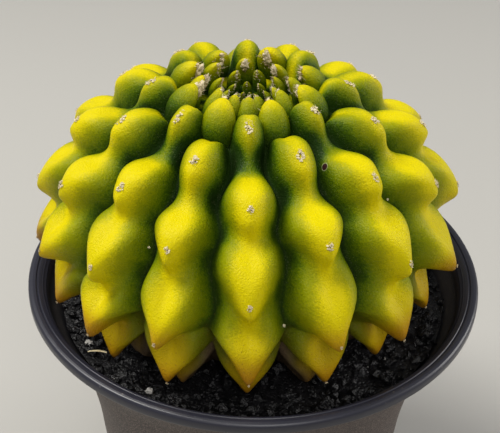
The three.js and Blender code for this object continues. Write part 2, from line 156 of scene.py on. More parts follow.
class Shader:
    """One material's node tree, and short ways to fill it."""

    def __init__(self, name: str) -> None:
        """Makes an empty node material."""
        self.material = bpy.data.materials.new(name)
        self.material.use_nodes = True
        self.tree = self.material.node_tree
        self.tree.nodes.clear()
        self._place: Wire | None = None

    def feed(self, socket: bpy.types.NodeSocket, value: "Wire | float | Colour") -> None:
        """Links a wire to a socket, or sets the socket to a plain value.

        Args:
            socket: the input to fill.
            value: the wire, number or colour.
        """
        if isinstance(value, Wire):
            self.tree.links.new(value.socket, socket)
        elif isinstance(value, tuple) and len(value) == 3 and socket.type == "RGBA":
            socket.default_value = (*value, 1.0)
        else:
            socket.default_value = value

    def node(self, kind: str, settings: dict | None = None, **values) -> bpy.types.Node:
        """Adds a node.

        Args:
            kind: the node's type.
            settings: properties, set before the sockets are filled.
            **values: a value or a wire for each named input, with _ for a space.

        Returns:
            The new node.
        """
        node = self.tree.nodes.new(kind)
        for name, value in (settings or {}).items():
            setattr(node, name, value)
        for name, value in values.items():
            self.feed(node.inputs[name.replace("_", " ")], value)
        return node

    @property
    def place(self) -> Wire:
        """The point's own place on the piece, in metres."""
        if self._place is None:
            node = self.node("ShaderNodeTexCoord")
            self._place = Wire(self, node.outputs["Object"])
        return self._place

    def split(self, vector: Wire) -> tuple[Wire, Wire, Wire]:
        """The three parts of a vector or colour."""
        node = self.node("ShaderNodeSeparateXYZ", None, Vector=vector)
        return tuple(Wire(self, output) for output in node.outputs)

    def attribute(self, name: str) -> Wire:
        """A colour attribute of the mesh, as a vector."""
        node = self.node("ShaderNodeAttribute", {"attribute_name": name})
        return Wire(self, node.outputs["Vector"])

    def noise(self, scale: float, detail: float = 2.0, rough: float = 0.5, at: Wire | None = None) -> Wire:
        """Cloudy noise from 0 to 1.

        Args:
            scale: how many cells there are in a metre.
            detail: how many finer layers are added.
            rough: how strong the finer layers are.
            at: where to read it, if not at the point's own place.

        Returns:
            The noise value.
        """
        node = self.node("ShaderNodeTexNoise", None, Vector=at or self.place)
        for name, value in {"Scale": scale, "Detail": detail, "Roughness": rough}.items():
            node.inputs[name].default_value = value
        return Wire(self, node.outputs["Fac"])

    def cells(self, scale: float) -> Wire:
        """The distance to the nearest of many scattered points, so many to a metre.

        Args:
            scale: how many cells there are in a metre.

        Returns:
            The distance, in cells.
        """
        node = self.node("ShaderNodeTexVoronoi", {"feature": "F1"}, Vector=self.place)
        node.inputs["Scale"].default_value = scale
        return Wire(self, node.outputs["Distance"])

    def stretched(self, x: float, y: float, z: float) -> Wire:
        """The point's place with each axis scaled.

        Args:
            x: the scale along X.
            y: the scale along Y.
            z: the scale along Z.

        Returns:
            The scaled place.
        """
        node = self.node("ShaderNodeMapping", None, Vector=self.place)
        node.inputs["Scale"].default_value = (x, y, z)
        return Wire(self, node.outputs[0])

    def radius(self) -> Wire:
        """The distance from the pot's axis, in metres."""
        x, y, _ = self.split(self.place)
        return (x * x + y * y) ** 0.5

    def near(self, centre: Vector, reach: float) -> Wire:
        """1 at a point of the piece, falling to 0 at some distance from it, both in metres.

        Args:
            centre: the point.
            reach: the distance at which it is 0.

        Returns:
            The nearness.
        """
        node = self.node("ShaderNodeVectorMath", {"operation": "DISTANCE"})
        self.feed(node.inputs[0], self.place)
        node.inputs[1].default_value = centre
        return Wire(self, node.outputs["Value"]).step(reach, 0.0)

    def mix(self, factor: "Wire | float", a: "Wire | Colour", b: "Wire | Colour") -> Wire:
        """Goes from colour a to colour b as the factor goes from 0 to 1.

        Args:
            factor: how much of b there is.
            a: the colour at 0.
            b: the colour at 1.

        Returns:
            The mixed colour.
        """
        node = self.node("ShaderNodeMix", {"data_type": "RGBA", "blend_type": "MIX"})
        node.clamp_factor = True
        self.feed(node.inputs[0], factor)
        self.feed(node.inputs[6], a)
        self.feed(node.inputs[7], b)
        return Wire(self, node.outputs[2])

    def bump(self, height: Wire, distance: float, strength: float = 1.0, under: Wire | None = None) -> Wire:
        """A normal from a height.

        Args:
            height: the height, from 0 to 1.
            distance: how high 1 is, in metres.
            strength: how much of it shows.
            under: a normal that this one is laid over.

        Returns:
            The bumped normal.
        """
        node = self.node("ShaderNodeBump", None, Height=height)
        node.inputs["Distance"].default_value = distance
        node.inputs["Strength"].default_value = strength
        if under is not None:
            self.feed(node.inputs["Normal"], under)
        return Wire(self, node.outputs[0])

    def done(self, **inputs: "Wire | float | Colour") -> bpy.types.Material:
        """Closes the tree with a Principled surface whose inputs are given by name.

        Args:
            **inputs: a value or a wire for each input, with _ for a space.

        Returns:
            The material.
        """
        surface = self.node("ShaderNodeBsdfPrincipled", None, **inputs)
        self.node("ShaderNodeOutputMaterial", None, Surface=Wire(self, surface.outputs[0]))
        return self.material


# ---- Finishes ------------------------------------------------------------------------------


@dataclass(frozen=True)
class PotPlastic:
    """Black moulded plastic: a fine gritty skin on the wall, and a smooth satin lip and inside, with a
    painted bluish sheen.

    The mesh's "zone" attribute says where a point is: inside, on the lip, and how dusty.
    """

    wall: Colour = (0.044, 0.033, 0.029)
    wall_grain: Colour = (0.205, 0.155, 0.130)
    # smooth and lip: the plastic's own near black, tinted blue and on the lip lightened, as a painted sheen.
    smooth: Colour = (0.013, 0.013, 0.019)
    lip: Colour = (0.020, 0.020, 0.031)
    dust: Colour = (0.20, 0.18, 0.16)

    def make(self) -> bpy.types.Material:
        """Builds the material.

        Returns:
            The material.
        """
        s = Shader("pot_plastic")
        inside, lip, dusty = s.split(s.attribute("zone"))
        sleek = inside.most(lip)
        grain = s.noise(2300, 2, 0.6)
        cloud = s.noise(45, 4, 0.6)
        speck = grain.step(0.46, 0.64) * (0.55 + 0.5 * cloud)
        base = s.mix(speck, self.wall, self.wall_grain)
        base = s.mix(inside, base, self.smooth)
        # The lip's lighter bluish colour is a painted sheen over the dark plastic.
        base = s.mix(lip, base, self.lip)
        streaks = s.noise(160, 4, 0.7, s.stretched(1, 1, 9)).step(0.56, 0.74)
        flecks = s.cells(420).step(0.16, 0.08) * s.noise(70, 2).step(0.5, 0.62)
        dust = (dusty * (0.15 + 0.5 * streaks) + 0.45 * flecks * sleek + 0.10 * cloud * inside).least(1.0)
        base = s.mix(dust, base, self.dust)
        hairs = s.noise(70, 2, 0.5, s.stretched(1, 1, 30)).step(0.60, 0.66)
        rough = 0.60 - 0.26 * lip - 0.16 * inside + 0.14 * (cloud - 0.5) + 0.25 * dust + 0.08 * hairs
        rings = (s.radius() * 8000.0).sine() * 0.5 + 0.5
        low = s.bump(grain * (1.0 - sleek), 0.00022, 0.7)
        normal = s.bump(rings * lip + hairs * inside, 0.00006, 0.4, low)
        return s.done(Base_Color=base, Roughness=rough, Normal=normal, Specular_IOR_Level=0.5)


@dataclass(frozen=True)
class CactusSkin:
    """Waxy skin: yellow on the ridges, green in the hollows, corky and brown at the soil; painted shade
    darkens the grooves.

    The mesh's "form" attribute says how near a point is to its crest, with a painted shade below
    each beak, its row, and how far it is out on a beak.
    """

    yellow: Colour = (0.62, 0.52, 0.001)
    lime: Colour = (0.25, 0.265, 0.001)
    green: Colour = (0.070, 0.125, 0.001)
    # dark: the grooves' deepest green, partly the plant's own colour and partly painted shade. The next
    # colour is painted shade for the groove bottoms.
    dark: Colour = (0.012, 0.034, 0.002)
    painted_crease_shade: Colour = (0.006, 0.017, 0.001)
    # olive and ochre: the low rows' flank and crest colours, partly their own older colour and partly painted
    # shade.
    olive: Colour = (0.11, 0.105, 0.004)
    ochre: Colour = (0.35, 0.225, 0.003)
    orange: Colour = (0.38, 0.155, 0.006)
    brown: Colour = (0.20, 0.085, 0.02)
    cork: Colour = (0.085, 0.052, 0.026)
    pale_cork: Colour = (0.19, 0.135, 0.08)
    pale: Colour = (0.80, 0.80, 0.45)
    scar: Colour = (0.035, 0.012, 0.012)
    scorch: Colour = (0.42, 0.06, 0.01)
    rows: float = 6.0
    scar_place: Vector = field(default_factory=Vector)
    scar_reach: float = 1.5 * MM
    burn_place: Vector = field(default_factory=Vector)
    burn_reach: float = 2.2 * MM

    def make(self) -> bpy.types.Material:
        """Builds the material.

        Returns:
            The material.
        """
        s = Shader("cactus_skin")
        ridge, level, beak = s.split(s.attribute("form"))
        row = level * self.rows
        patch = s.noise(55, 3, 0.55)
        fine = s.noise(900, 3, 0.65)
        grain = s.noise(2300, 2, 0.6)
        ripe = row.step(0.7, 2.2)
        sun = ridge - 0.20 + 0.38 * ripe + 0.30 * (patch - 0.5) + 0.16 * (fine - 0.5) + 0.30 * (grain - 0.5)
        base = s.mix(sun.step(0.08, 0.42), self.dark, self.green)
        base = s.mix(sun.step(0.25, 0.66), base, self.lime)
        base = s.mix(sun.step(0.58, 0.98), base, self.yellow)
        # Painted shade: the bottoms of the grooves are darkened further.
        base = s.mix(ridge.step(0.12, 0.0) * 0.7, base, self.painted_crease_shade)
        # Near the soil the skin turns a darker olive and ochre: partly its own older colour, partly painted
        # shade.
        low = row.step(3.0, 4.2)
        base = s.mix(0.82 * low, base, s.mix(ridge.step(0.25, 0.75), self.olive, self.ochre))
        tip = beak.step(0.22, 0.95) * row.step(2.7, 3.7)
        base = s.mix(0.8 * tip, base, self.orange)
        base = s.mix(beak.step(0.85, 1.0) * low * 0.6, base, self.brown)
        freckle = s.cells(1000).step(0.24, 0.10) * fine.step(0.42, 0.55) * row.step(2.4, 3.8)
        base = s.mix(0.65 * freckle, base, self.brown)
        dots = s.cells(2000).step(0.34, 0.12) * s.noise(260, 2).step(0.36, 0.6)
        base = s.mix(0.07 * dots * sun.step(0.9, 0.4), base, self.pale)
        age = (row + 0.9 * (1.0 - ridge) + 0.8 * (patch - 0.5)).step(5.0, 5.7)
        cork = s.mix(s.noise(330, 4, 0.7), self.cork, self.pale_cork)
        base = s.mix(age, base, cork)
        burn = s.near(self.burn_place, self.burn_reach).step(0.1, 0.7)
        base = s.mix(0.8 * burn, base, self.scorch)
        spot = s.near(self.scar_place, self.scar_reach)
        base = s.mix(0.35 * spot.step(0.05, 0.2), base, self.pale)
        base = s.mix(spot.step(0.2, 0.3), base, self.scar)
        rough = 0.34 + 0.16 * (fine - 0.5) + 0.35 * age + 0.35 * ridge.step(0.3, 0.0)
        peel = grain * 0.6 + s.noise(1150, 2, 0.6) * 0.4
        normal = s.bump(peel, 0.00042, 0.8)
        normal = s.bump(s.noise(420, 4, 0.75) * age, 0.0007, 0.8, normal)
        return s.done(Base_Color=base, Roughness=rough, Normal=normal, Specular_IOR_Level=0.08)


@dataclass(frozen=True)
class Fluff:
    """Felt of dry plant hair, dark in the middle of each tuft. It reads the "shade" attribute."""

    name: str = "felt"
    pale: Colour = (0.68, 0.60, 0.40)
    tan: Colour = (0.40, 0.28, 0.15)
    dark: Colour = (0.05, 0.030, 0.018)

    def make(self) -> bpy.types.Material:
        """Builds the material.

        Returns:
            The material.
        """
        s = Shader(self.name)
        shade, _, _ = s.split(s.attribute("shade"))
        blotch = s.noise(900, 3, 0.7)
        tone = shade + 0.7 * (blotch - 0.5)
        base = s.mix(tone.step(0.0, 0.35), self.dark, self.tan)
        base = s.mix(tone.step(0.30, 0.8), base, self.pale)
        hairs = s.noise(2600, 3, 0.7, s.stretched(1, 1, 0.4))
        normal = s.bump(hairs, 0.0002, 0.8)
        return s.done(Base_Color=base, Roughness=0.95, Normal=normal, Specular_IOR_Level=0.2)


@dataclass(frozen=True)
class Rock:
    """Broken stone with pits, each grain its own tone."""

    name: str
    low: Colour
    high: Colour
    gloss: float
    pit_scale: float = 900.0

    def make(self) -> bpy.types.Material:
        """Builds the material.

        Returns:
            The material.
        """
        s = Shader(self.name)
        tone = s.noise(260, 2, 0.5)
        pits = s.cells(self.pit_scale)
        grain = s.noise(1800, 3, 0.7)
        base = s.mix(tone.step(0.35, 0.7) * 0.8 + 0.2 * grain, self.low, self.high)
        # The pits take the dark colour: painted shade inside the holes.
        base = s.mix(pits.step(0.28, 0.05), base, self.low)
        rough = (1.0 - self.gloss) + 0.45 * (grain - 0.5) - 0.25 * tone.step(0.55, 0.7)
        normal = s.bump(pits.least(0.5) * 1.4 + 0.5 * grain, 0.0005, 0.9)
        return s.done(Base_Color=base, Roughness=rough.most(0.12), Normal=normal, Specular_IOR_Level=0.34)


@dataclass(frozen=True)
class Fibrous:
    """Dry plant stuff with a grain along Z: peat, bark or straw."""

    name: str
    low: Colour
    high: Colour
    scale: float
    rough: float

    def make(self) -> bpy.types.Material:
        """Builds the material.

        Returns:
            The material.
        """
        s = Shader(self.name)
        along = s.noise(self.scale, 4, 0.65, s.stretched(1, 1, 0.3))
        crumbs = s.noise(self.scale * 3, 3, 0.7)
        base = s.mix(along.step(0.35, 0.68) * 0.7 + 0.3 * crumbs, self.low, self.high)
        normal = s.bump(along * 0.6 + crumbs * 0.4, 0.0006, 0.8)
        return s.done(Base_Color=base, Roughness=self.rough, Normal=normal)


# ---- Mesh helpers --------------------------------------------------------------------------


def clear_selection() -> None:
    """Deselects everything, so that an operator works on what it makes."""
    if bpy.context.object and bpy.context.object.mode != "OBJECT":
        bpy.ops.object.mode_set(mode="OBJECT")
    bpy.ops.object.select_all(action="DESELECT")


def activate(piece: bpy.types.Object) -> None:
    """Selects one object alone and makes it active."""
    clear_selection()
    piece.select_set(True)
    bpy.context.view_layer.objects.active = piece


def apply_modifier(piece: bpy.types.Object, kind: str, **settings: object) -> None:
    """Adds a modifier and applies it at once.

    Args:
        piece: the object.
        kind: the modifier's type.
        **settings: its properties.
    """
    activate(piece)
    modifier = piece.modifiers.new(kind.lower(), kind)
    for name, value in settings.items():
        setattr(modifier, name, value)
    bpy.ops.object.modifier_apply(modifier=modifier.name)


def adopt(piece: bpy.types.Object, name: str, material: bpy.types.Material, slot: str, *nodes: str) -> None:
    """Names a finished piece, dresses it and puts it on the body.

    Args:
        piece: the object.
        name: its name.
        material: its finish.
        slot: the name of a finish slot; not used.
        *nodes: the frame's nodes that it stands for.
    """
    activate(piece)
    bpy.ops.object.transform_apply(location=True, rotation=True, scale=True)
    piece.name = name
    piece.data.name = name
    piece.data.materials.clear()
    piece.data.materials.append(material)
    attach(piece, BODY)
    if nodes:
        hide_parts(*nodes)
    log.info("%s: %d faces", name, len(piece.data.polygons))


def dress_node(node: bpy.types.Object, material: bpy.types.Material) -> None:
    """Gives a carried-over CAD node its finish."""
    for place in node.material_slots:
        place.material = material


def lerp(a: float, b: float, t: float) -> float:
    """The value t of the way from a to b."""
    return a + (b - a) * t


def ease(low: float, high: float, at: float) -> float:
    """A smooth rise from 0 at low to 1 at high."""
    t = min(1.0, max(0.0, (at - low) / (high - low)))
    return t * t * (3 - 2 * t)


class Curve:
    """A smooth curve through rows of numbers whose first is the place along it."""

    def __init__(self, *rows: tuple[float, ...]) -> None:
        """Keeps the rows, which are in order."""
        self.at = [row[0] for row in rows]
        self.rows = [row[1:] for row in rows]

    def __call__(self, at: float) -> list[float]:
        """The values at a place, carried on straight past either end.

        Args:
            at: the place along the curve.

        Returns:
            One value for each column after the first.
        """
        last = len(self.at) - 1
        i = min(max(bisect.bisect_right(self.at, at) - 1, 0), last - 1)
        before, after = max(i - 1, 0), min(i + 2, last)
        span = self.at[i + 1] - self.at[i]
        t = (at - self.at[i]) / span
        spans = (self.at[i + 1] - self.at[before], self.at[after] - self.at[i])
        values = []
        for a, b, c, d in zip(*(self.rows[k] for k in (before, i, i + 1, after))):
            m1 = (c - a) / spans[0] * span
            m2 = (d - b) / spans[1] * span
            t2 = t * t
            t3 = t2 * t
            start = (2 * t3 - 3 * t2 + 1) * b + (t3 - 2 * t2 + t) * m1
            values.append(start + (3 * t2 - 2 * t3) * c + (t3 - t2) * m2)
        return values


# ---- The stem ------------------------------------------------------------------------------


@dataclass
class StemForm:
    """Where the stem's skin lies.

    A meridian curve runs from the crown down to the soil through the tips of the noses. Each rib's
    crest follows it, and dips to a neck and swells to a nose once in every step. Neighbouring ribs
    are half a step apart, so their noses interlock. A row is a position down the rib.
    """

    pot_height: float = 105.0
    offset: tuple[float, float] = (-3.2, -1.4)
    ribs: int = 16
    turn: float = math.radians(2)
    zigzag: float = 0.1
    crown_zigzag: float = 0.18
    first_row: float = 0.4
    last_row: float = 5.5
    floor: float = 56.0
    base_radius: float = 25.0
    base_depth: float = 22.0
    tips: Curve = Curve(
        (-1.5, 3.4, 60),
        (-1, 5.6, 62.8),
        (-0.5, 8.8, 65),
        (0, 13, 66.3),
        (0.5, 19.5, 65.6),
        (1, 29.5, 62.3),
        (1.5, 41, 56.4),
        (2, 51, 48.4),
        (2.5, 57.2, 39),
        (3, 62.2, 27.7),
        (3.5, 64.5, 17.4),
        (4, 61.6, 6.4),
        (4.5, 57.6, 0.4),
        (5, 52.8, -4.2),
        (5.5, 47, -9),
    )
    depth: Curve = Curve(
        (-1.5, 1.5),
        (-0.5, 5.5),
        (0.5, 9.5),
        (1.5, 12),
        (2.5, 13.5),
        (3.5, 14.5),
        (4.5, 15),
        (5.5, 11),
    )
    relief: Curve = Curve(
        (0.5, 5.5),
        (1.3, 5.5),
        (1.8, 4.8),
        (2.25, 4.4),
        (2.75, 5.6),
        (3.25, 8.2),
        (3.75, 10.5),
        (5.5, 11),
    )
    swell: float = 0.7
    beak: Curve = Curve(
        (0.5, 2.0),
        (1, 2.2),
        (2, 3.4),
        (2.5, 4.4),
        (3, 6.6),
        (3.5, 9.0),
        (4.5, 10),
        (5.5, 9),
    )
    crown_outline: Curve = Curve(
        (0, 0, 0, 0),
        (0.08, 0.07, -0.3, 0),
        (0.18, 0.16, -0.75, 0),
        (0.28, 0.27, -1, 0),
        (0.38, 0.38, -0.98, 0),
        (0.5, 0.48, -0.72, 0),
        (0.62, 0.6, -0.3, 0.4),
        (0.75, 0.75, 0, 1),
        (0.88, 0.88, 0, 0.8),
        (1, 1, 0, 0),
    )
    side_outline: Curve = Curve(
        (0, 0, 0, 0),
        (0.05, 0.045, -0.36, 0),
        (0.1, 0.09, -0.78, 0),
        (0.17, 0.16, -1, 0),
        (0.26, 0.26, -0.98, 0),
        (0.38, 0.38, -0.72, 0.1),
        (0.52, 0.52, -0.36, 0.6),
        (0.68, 0.68, -0.1, 1),
        (0.84, 0.84, 0, 0.8),
        (1, 1, 0, 0),
    )
    low_outline: Curve = Curve(
        (0, 0, 0, 0),
        (0.05, 0.02, -0.25, 0),
        (0.1, 0.06, -0.62, 0),
        (0.17, 0.13, -0.9, 0),
        (0.26, 0.26, -1, 0),
        (0.38, 0.38, -0.84, 0),
        (0.55, 0.54, -0.5, 0.3),
        (0.72, 0.71, -0.22, 0.6),
        (0.88, 0.87, -0.05, 0.4),
        (1, 1, 0, 0),
    )
    character: tuple[tuple[float, float, float, float], ...] = (
        (0.5, -0.08, 1, 0.1),
        (-0.5, -0.1, 1, 0.15),
        (0, -0.12, 1, 0.15),
        (1, -0.06, 1.01, 0.15),
        (0, 0.02, 1.03, 0.1),
        (-1, 0.05, 1.03, 0),
        (1, -0.05, 1.01, 0.05),
        (0, 0.06, 0.99, 0),
        (-1.5, 0, 1, 0.05),
        (1, -0.06, 1.01, 0),
        (0.5, 0.05, 0.99, 0.1),
        (-1, 0.03, 1, 0),
        (1.5, -0.03, 1, -0.1),
        (1, -0.04, 0.99, -0.2),
        (3, -0.02, 1, -0.15),
        (1, -0.04, 1, 0.05),
    )

    def place(self, azimuth: float, radius: float, height: float) -> Vector:
        """A point round the stem's axis, at a height from the pot's rim.

        Args:
            azimuth: the angle round the axis, from the front.
            radius: the distance from the axis.
            height: the height above the rim.

        Returns:
            The point.
        """
        x = self.offset[0] + radius * math.sin(azimuth)
        y = self.offset[1] - radius * math.cos(azimuth)
        return Vector((x, y, self.pot_height + height))

    def off_tips(self, row: float, outwards: float) -> tuple[float, float]:
        """The radius and height of a point of the tip curve pushed outwards.

        Args:
            row: the position down the curve.
            outwards: how far it is pushed, square to the curve.

        Returns:
            Its radius and height.
        """
        r, z = self.tips(row)
        r1, z1 = self.tips(row - 0.05)
        r2, z2 = self.tips(row + 0.05)
        length = math.hypot(r2 - r1, z2 - z1)
        return r - outwards * (z2 - z1) / length, z + outwards * (r2 - r1) / length

    def down(self, rib: int, row: float) -> float:
        """How many rows below its even place a rib's noses are at a row."""
        _, down, _, droop = self.character[rib % self.ribs]
        return down + droop * ease(2.5, 3.8, row)

    def state(self, rib: int, row: float) -> tuple[float, float, float, float]:
        """A rib's azimuth at a row, the row its step begins at, the share of the step, and size.

        Args:
            rib: the rib's number.
            row: the position down it.

        Returns:
            The azimuth, the first row, the share and the size.
        """
        degrees, _, size, _ = self.character[rib % self.ribs]
        down = self.down(rib, row)
        parity = 0.5 if rib % 2 else 0.0
        local = row - parity - down
        step = math.floor(local)
        azimuth = rib / self.ribs * math.tau + self.turn + math.radians(degrees)
        return azimuth, step + parity + down, local - step, size

    def lean(self, across: float, row: float) -> float:
        """How far up the rib a nose's lower edge lies beside the crest, which points the nose."""
        return abs(across) ** 1.3 * lerp(0.12, 0.6, ease(1.4, 3.0, row))

    def crest(self, rib: int, row: float, lean: float = 0.0) -> tuple[Vector, Vector]:
        """A rib's body without the beak, and the beak's reach from there, as radius and height.

        Args:
            rib: the rib's number.
            row: the position down it.
            lean: how far up the rib the step is read.

        Returns:
            The body's point and the beak's reach.
        """
        _, first, share, size = self.state(rib, row + lean)
        crown = self.crown_outline(share)
        side = self.side_outline(share)
        low = self.low_outline(share)
        to_side = ease(1.3, 2.3, row)
        to_low = ease(2.7, 3.5, row)
        along, neck, swell = (lerp(lerp(c, s, to_side), w, to_low) for c, s, w in zip(crown, side, low))
        at = min(max(first + along - lean, self.first_row), self.last_row)
        out = neck * self.relief(row)[0] + swell * self.swell
        tip = Vector(self.off_tips(at, out))
        body = Vector(self.off_tips(at, out - self.beak(row)[0] * self.beak_share(share, row)))
        local = row - self.down(rib, row)
        shown = ease(0.72, 1.0, local) if rib % 2 else ease(0.42, 0.64, local)
        floor = Vector((self.tips(row)[0], self.floor))
        scale = Vector((size, 1))
        return floor.lerp(body * scale, shown), (tip - body) * scale * shown

    def beak_share(self, share: float, row: float) -> float:
        """How much of a nose's beak there is at a share of the step."""
        start = lerp(0.5, 0.3, ease(2.2, 3.6, row))
        return max(ease(start, 0.98, share), ease(0.15, 0.0, share))

    def beak_width(self, share: float, row: float) -> float:
        """How far to each side the beak reaches, as a share of the rib's half width.

        Args:
            share: the share of the step.
            row: the position down the rib.

        Returns:
            The half width.
        """
        start = lerp(0.4, 0.15, ease(2.2, 3.6, row))
        point = lerp(1.0, 0.45, ease(1.4, 2.8, row))
        return lerp(1.1, point, max(ease(start, 1.1, share), ease(0.2, 0.0, share)))

    def groove_azimuth(self, rib: int, row: float) -> float:
        """The azimuth of the groove after a rib. It swings towards whichever rib is at its neck.

        Args:
            rib: the rib's number.
            row: the position down it.

        Returns:
            The groove's azimuth.
        """
        azimuth, _, share, _ = self.state(rib, row)
        middle = (azimuth + self.state(rib + 1, row)[0]) / 2
        low = ease(1.1, 2.2, row)
        phase = math.tau * (share - lerp(0.25, 0.0, low))
        swing = lerp(self.crown_zigzag, self.zigzag, low) * math.cos(phase)
        return middle - math.pi / self.ribs * swing

    def section(self, across: float, row: float) -> float:
        """How far a rib's body stands out across it, from 0 in the groove to 1 on the crest."""
        side = ease(0.9, 1.9, row)
        return max(0.0, 1 - abs(across) ** lerp(3.0, 2.3, side)) ** lerp(0.56, 0.68, side)

    def skin(self, rib: int, across: float, row: float) -> Vector:
        """The point of the skin at a place across a rib, from -1 to 1, and down it.

        Args:
            rib: the rib's number.
            across: the place across it.
            row: the position down it.

        Returns:
            The point.
        """
        azimuth, _, share, _ = self.state(rib, row)
        if across < 0:
            edge = self.groove_azimuth((rib - 1) % self.ribs, row)
            swing = (azimuth - edge) % math.tau
        else:
            swing = (self.groove_azimuth(rib, row) - azimuth) % math.tau
        floor = Vector((self.tips(row)[0], self.floor))
        groove = floor.lerp(Vector(self.off_tips(row, -self.depth(row)[0])), ease(0.42, 0.9, row))
        body, beak = self.crest(rib, row, self.lean(across, row))
        place = groove.lerp(body, self.section(across, row))
        place += beak * max(0.0, 1 - (across / self.beak_width(share, row)) ** 2) ** 1.4
        return self.place(azimuth + across * swing, max(0.4, place.x), place.y)

    def mark(self, rib: int, across: float, row: float) -> tuple[float, float, float]:
        """How near a point is to its crest, less a painted shade below the beak, its level, and how far out
        on a beak.

        Args:
            rib: the rib's number.
            across: the place across it.
            row: the position down it.

        Returns:
            The three values of the form attribute.
        """
        share = self.state(rib, row + self.lean(across, row))[2]
        neck = ease(0.05, 0.22, share) * ease(0.5, 0.28, share)
        # Painted shade just below each beak: it lowers the first value, so the skin there is greener and
        # darker.
        under = ease(0.0, 0.03, share) * ease(0.2, 0.1, share)
        near = math.exp(-((across / 0.5) ** 2))
        neck *= lerp(0.55, 0.14, ease(1.2, 1.8, row))
        edge = abs(across) ** lerp(1.7, 1.0, ease(1.0, 2.4, row))
        return 1 - edge - neck - 0.08 * under, row / 6, self.beak_share(share, row) * near

    def base(self, place: Vector, share: float) -> Vector:
        """A point below the last row, drawn in towards the soil.

        Args:
            place: the last row's point.
            share: how far down it is, up to 1.

        Returns:
            The point.
        """
        arm = Vector((place.x - self.offset[0], place.y - self.offset[1]))
        arm.length = lerp(arm.length, self.base_radius, share)
        z = lerp(place.z, self.pot_height - self.base_depth, share)
        return Vector((self.offset[0] + arm.x, self.offset[1] + arm.y, z))


@dataclass
class Stem:
    """The plant's body, one closed skin."""

    form: StemForm
    columns_per_rib: int = 12
    rings_per_step: int = 18
    base_rings: int = 5
    crowding: float = 1.35

    def build(self) -> bpy.types.Object:
        """Bends a sphere's rings into the ribbed form.

        Returns:
            The stem.
        """
        form = self.form
        columns = form.ribs * self.columns_per_rib
        skin_rings = round((form.last_row - form.first_row) * self.rings_per_step) + 1
        rings = skin_rings + self.base_rings
        clear_selection()
        bpy.ops.mesh.primitive_uv_sphere_add(segments=columns, ring_count=rings + 1, radius=1)
        piece = bpy.context.object
        mesh = piece.data
        marks = []
        places = {}
        for column in range(columns):
            rib, part = divmod(column, self.columns_per_rib)
            across = part / self.columns_per_rib * 2 - 1
            across = math.copysign(abs(across) ** self.crowding, across)
            for ring in range(skin_rings):
                row = form.first_row + ring / self.rings_per_step
                places[column, ring] = (form.skin(rib, across, row), form.mark(rib, across, row))
            lowest, mark = places[column, skin_rings - 1]
            for k in range(self.base_rings):
                below = form.base(lowest, (k + 1) / self.base_rings)
                places[column, skin_rings + k] = (below, (0.0, 1.0, 0.0))
        top = Vector((form.offset[0], form.offset[1], places[0, 0][0].z))
        bottom = Vector((form.offset[0], form.offset[1], form.pot_height - form.base_depth))
        for vertex in mesh.vertices:
            ring = round(math.acos(max(-1.0, min(1.0, vertex.co.z))) / math.pi * (rings + 1)) - 1
            if ring < 0:
                vertex.co, mark = top * MM, (0.1, 0.0, 0.0)
            elif ring >= rings:
                vertex.co, mark = bottom * MM, (0.0, 1.0, 0.0)
            else:
                azimuth = math.atan2(vertex.co.x, -vertex.co.y) % math.tau
                column = round(azimuth / math.tau * columns) % columns
                place, mark = places[column, ring]
                vertex.co = place * MM
            marks.append(mark)
        layer = mesh.color_attributes.new("form", "FLOAT_COLOR", "POINT")
        for value, mark in zip(layer.data, marks):
            value.color = (*mark, 1.0)
        apply_modifier(piece, "SUBSURF", levels=1, render_levels=1)
        recalculate(piece)
        bpy.ops.object.shade_smooth()
        return piece


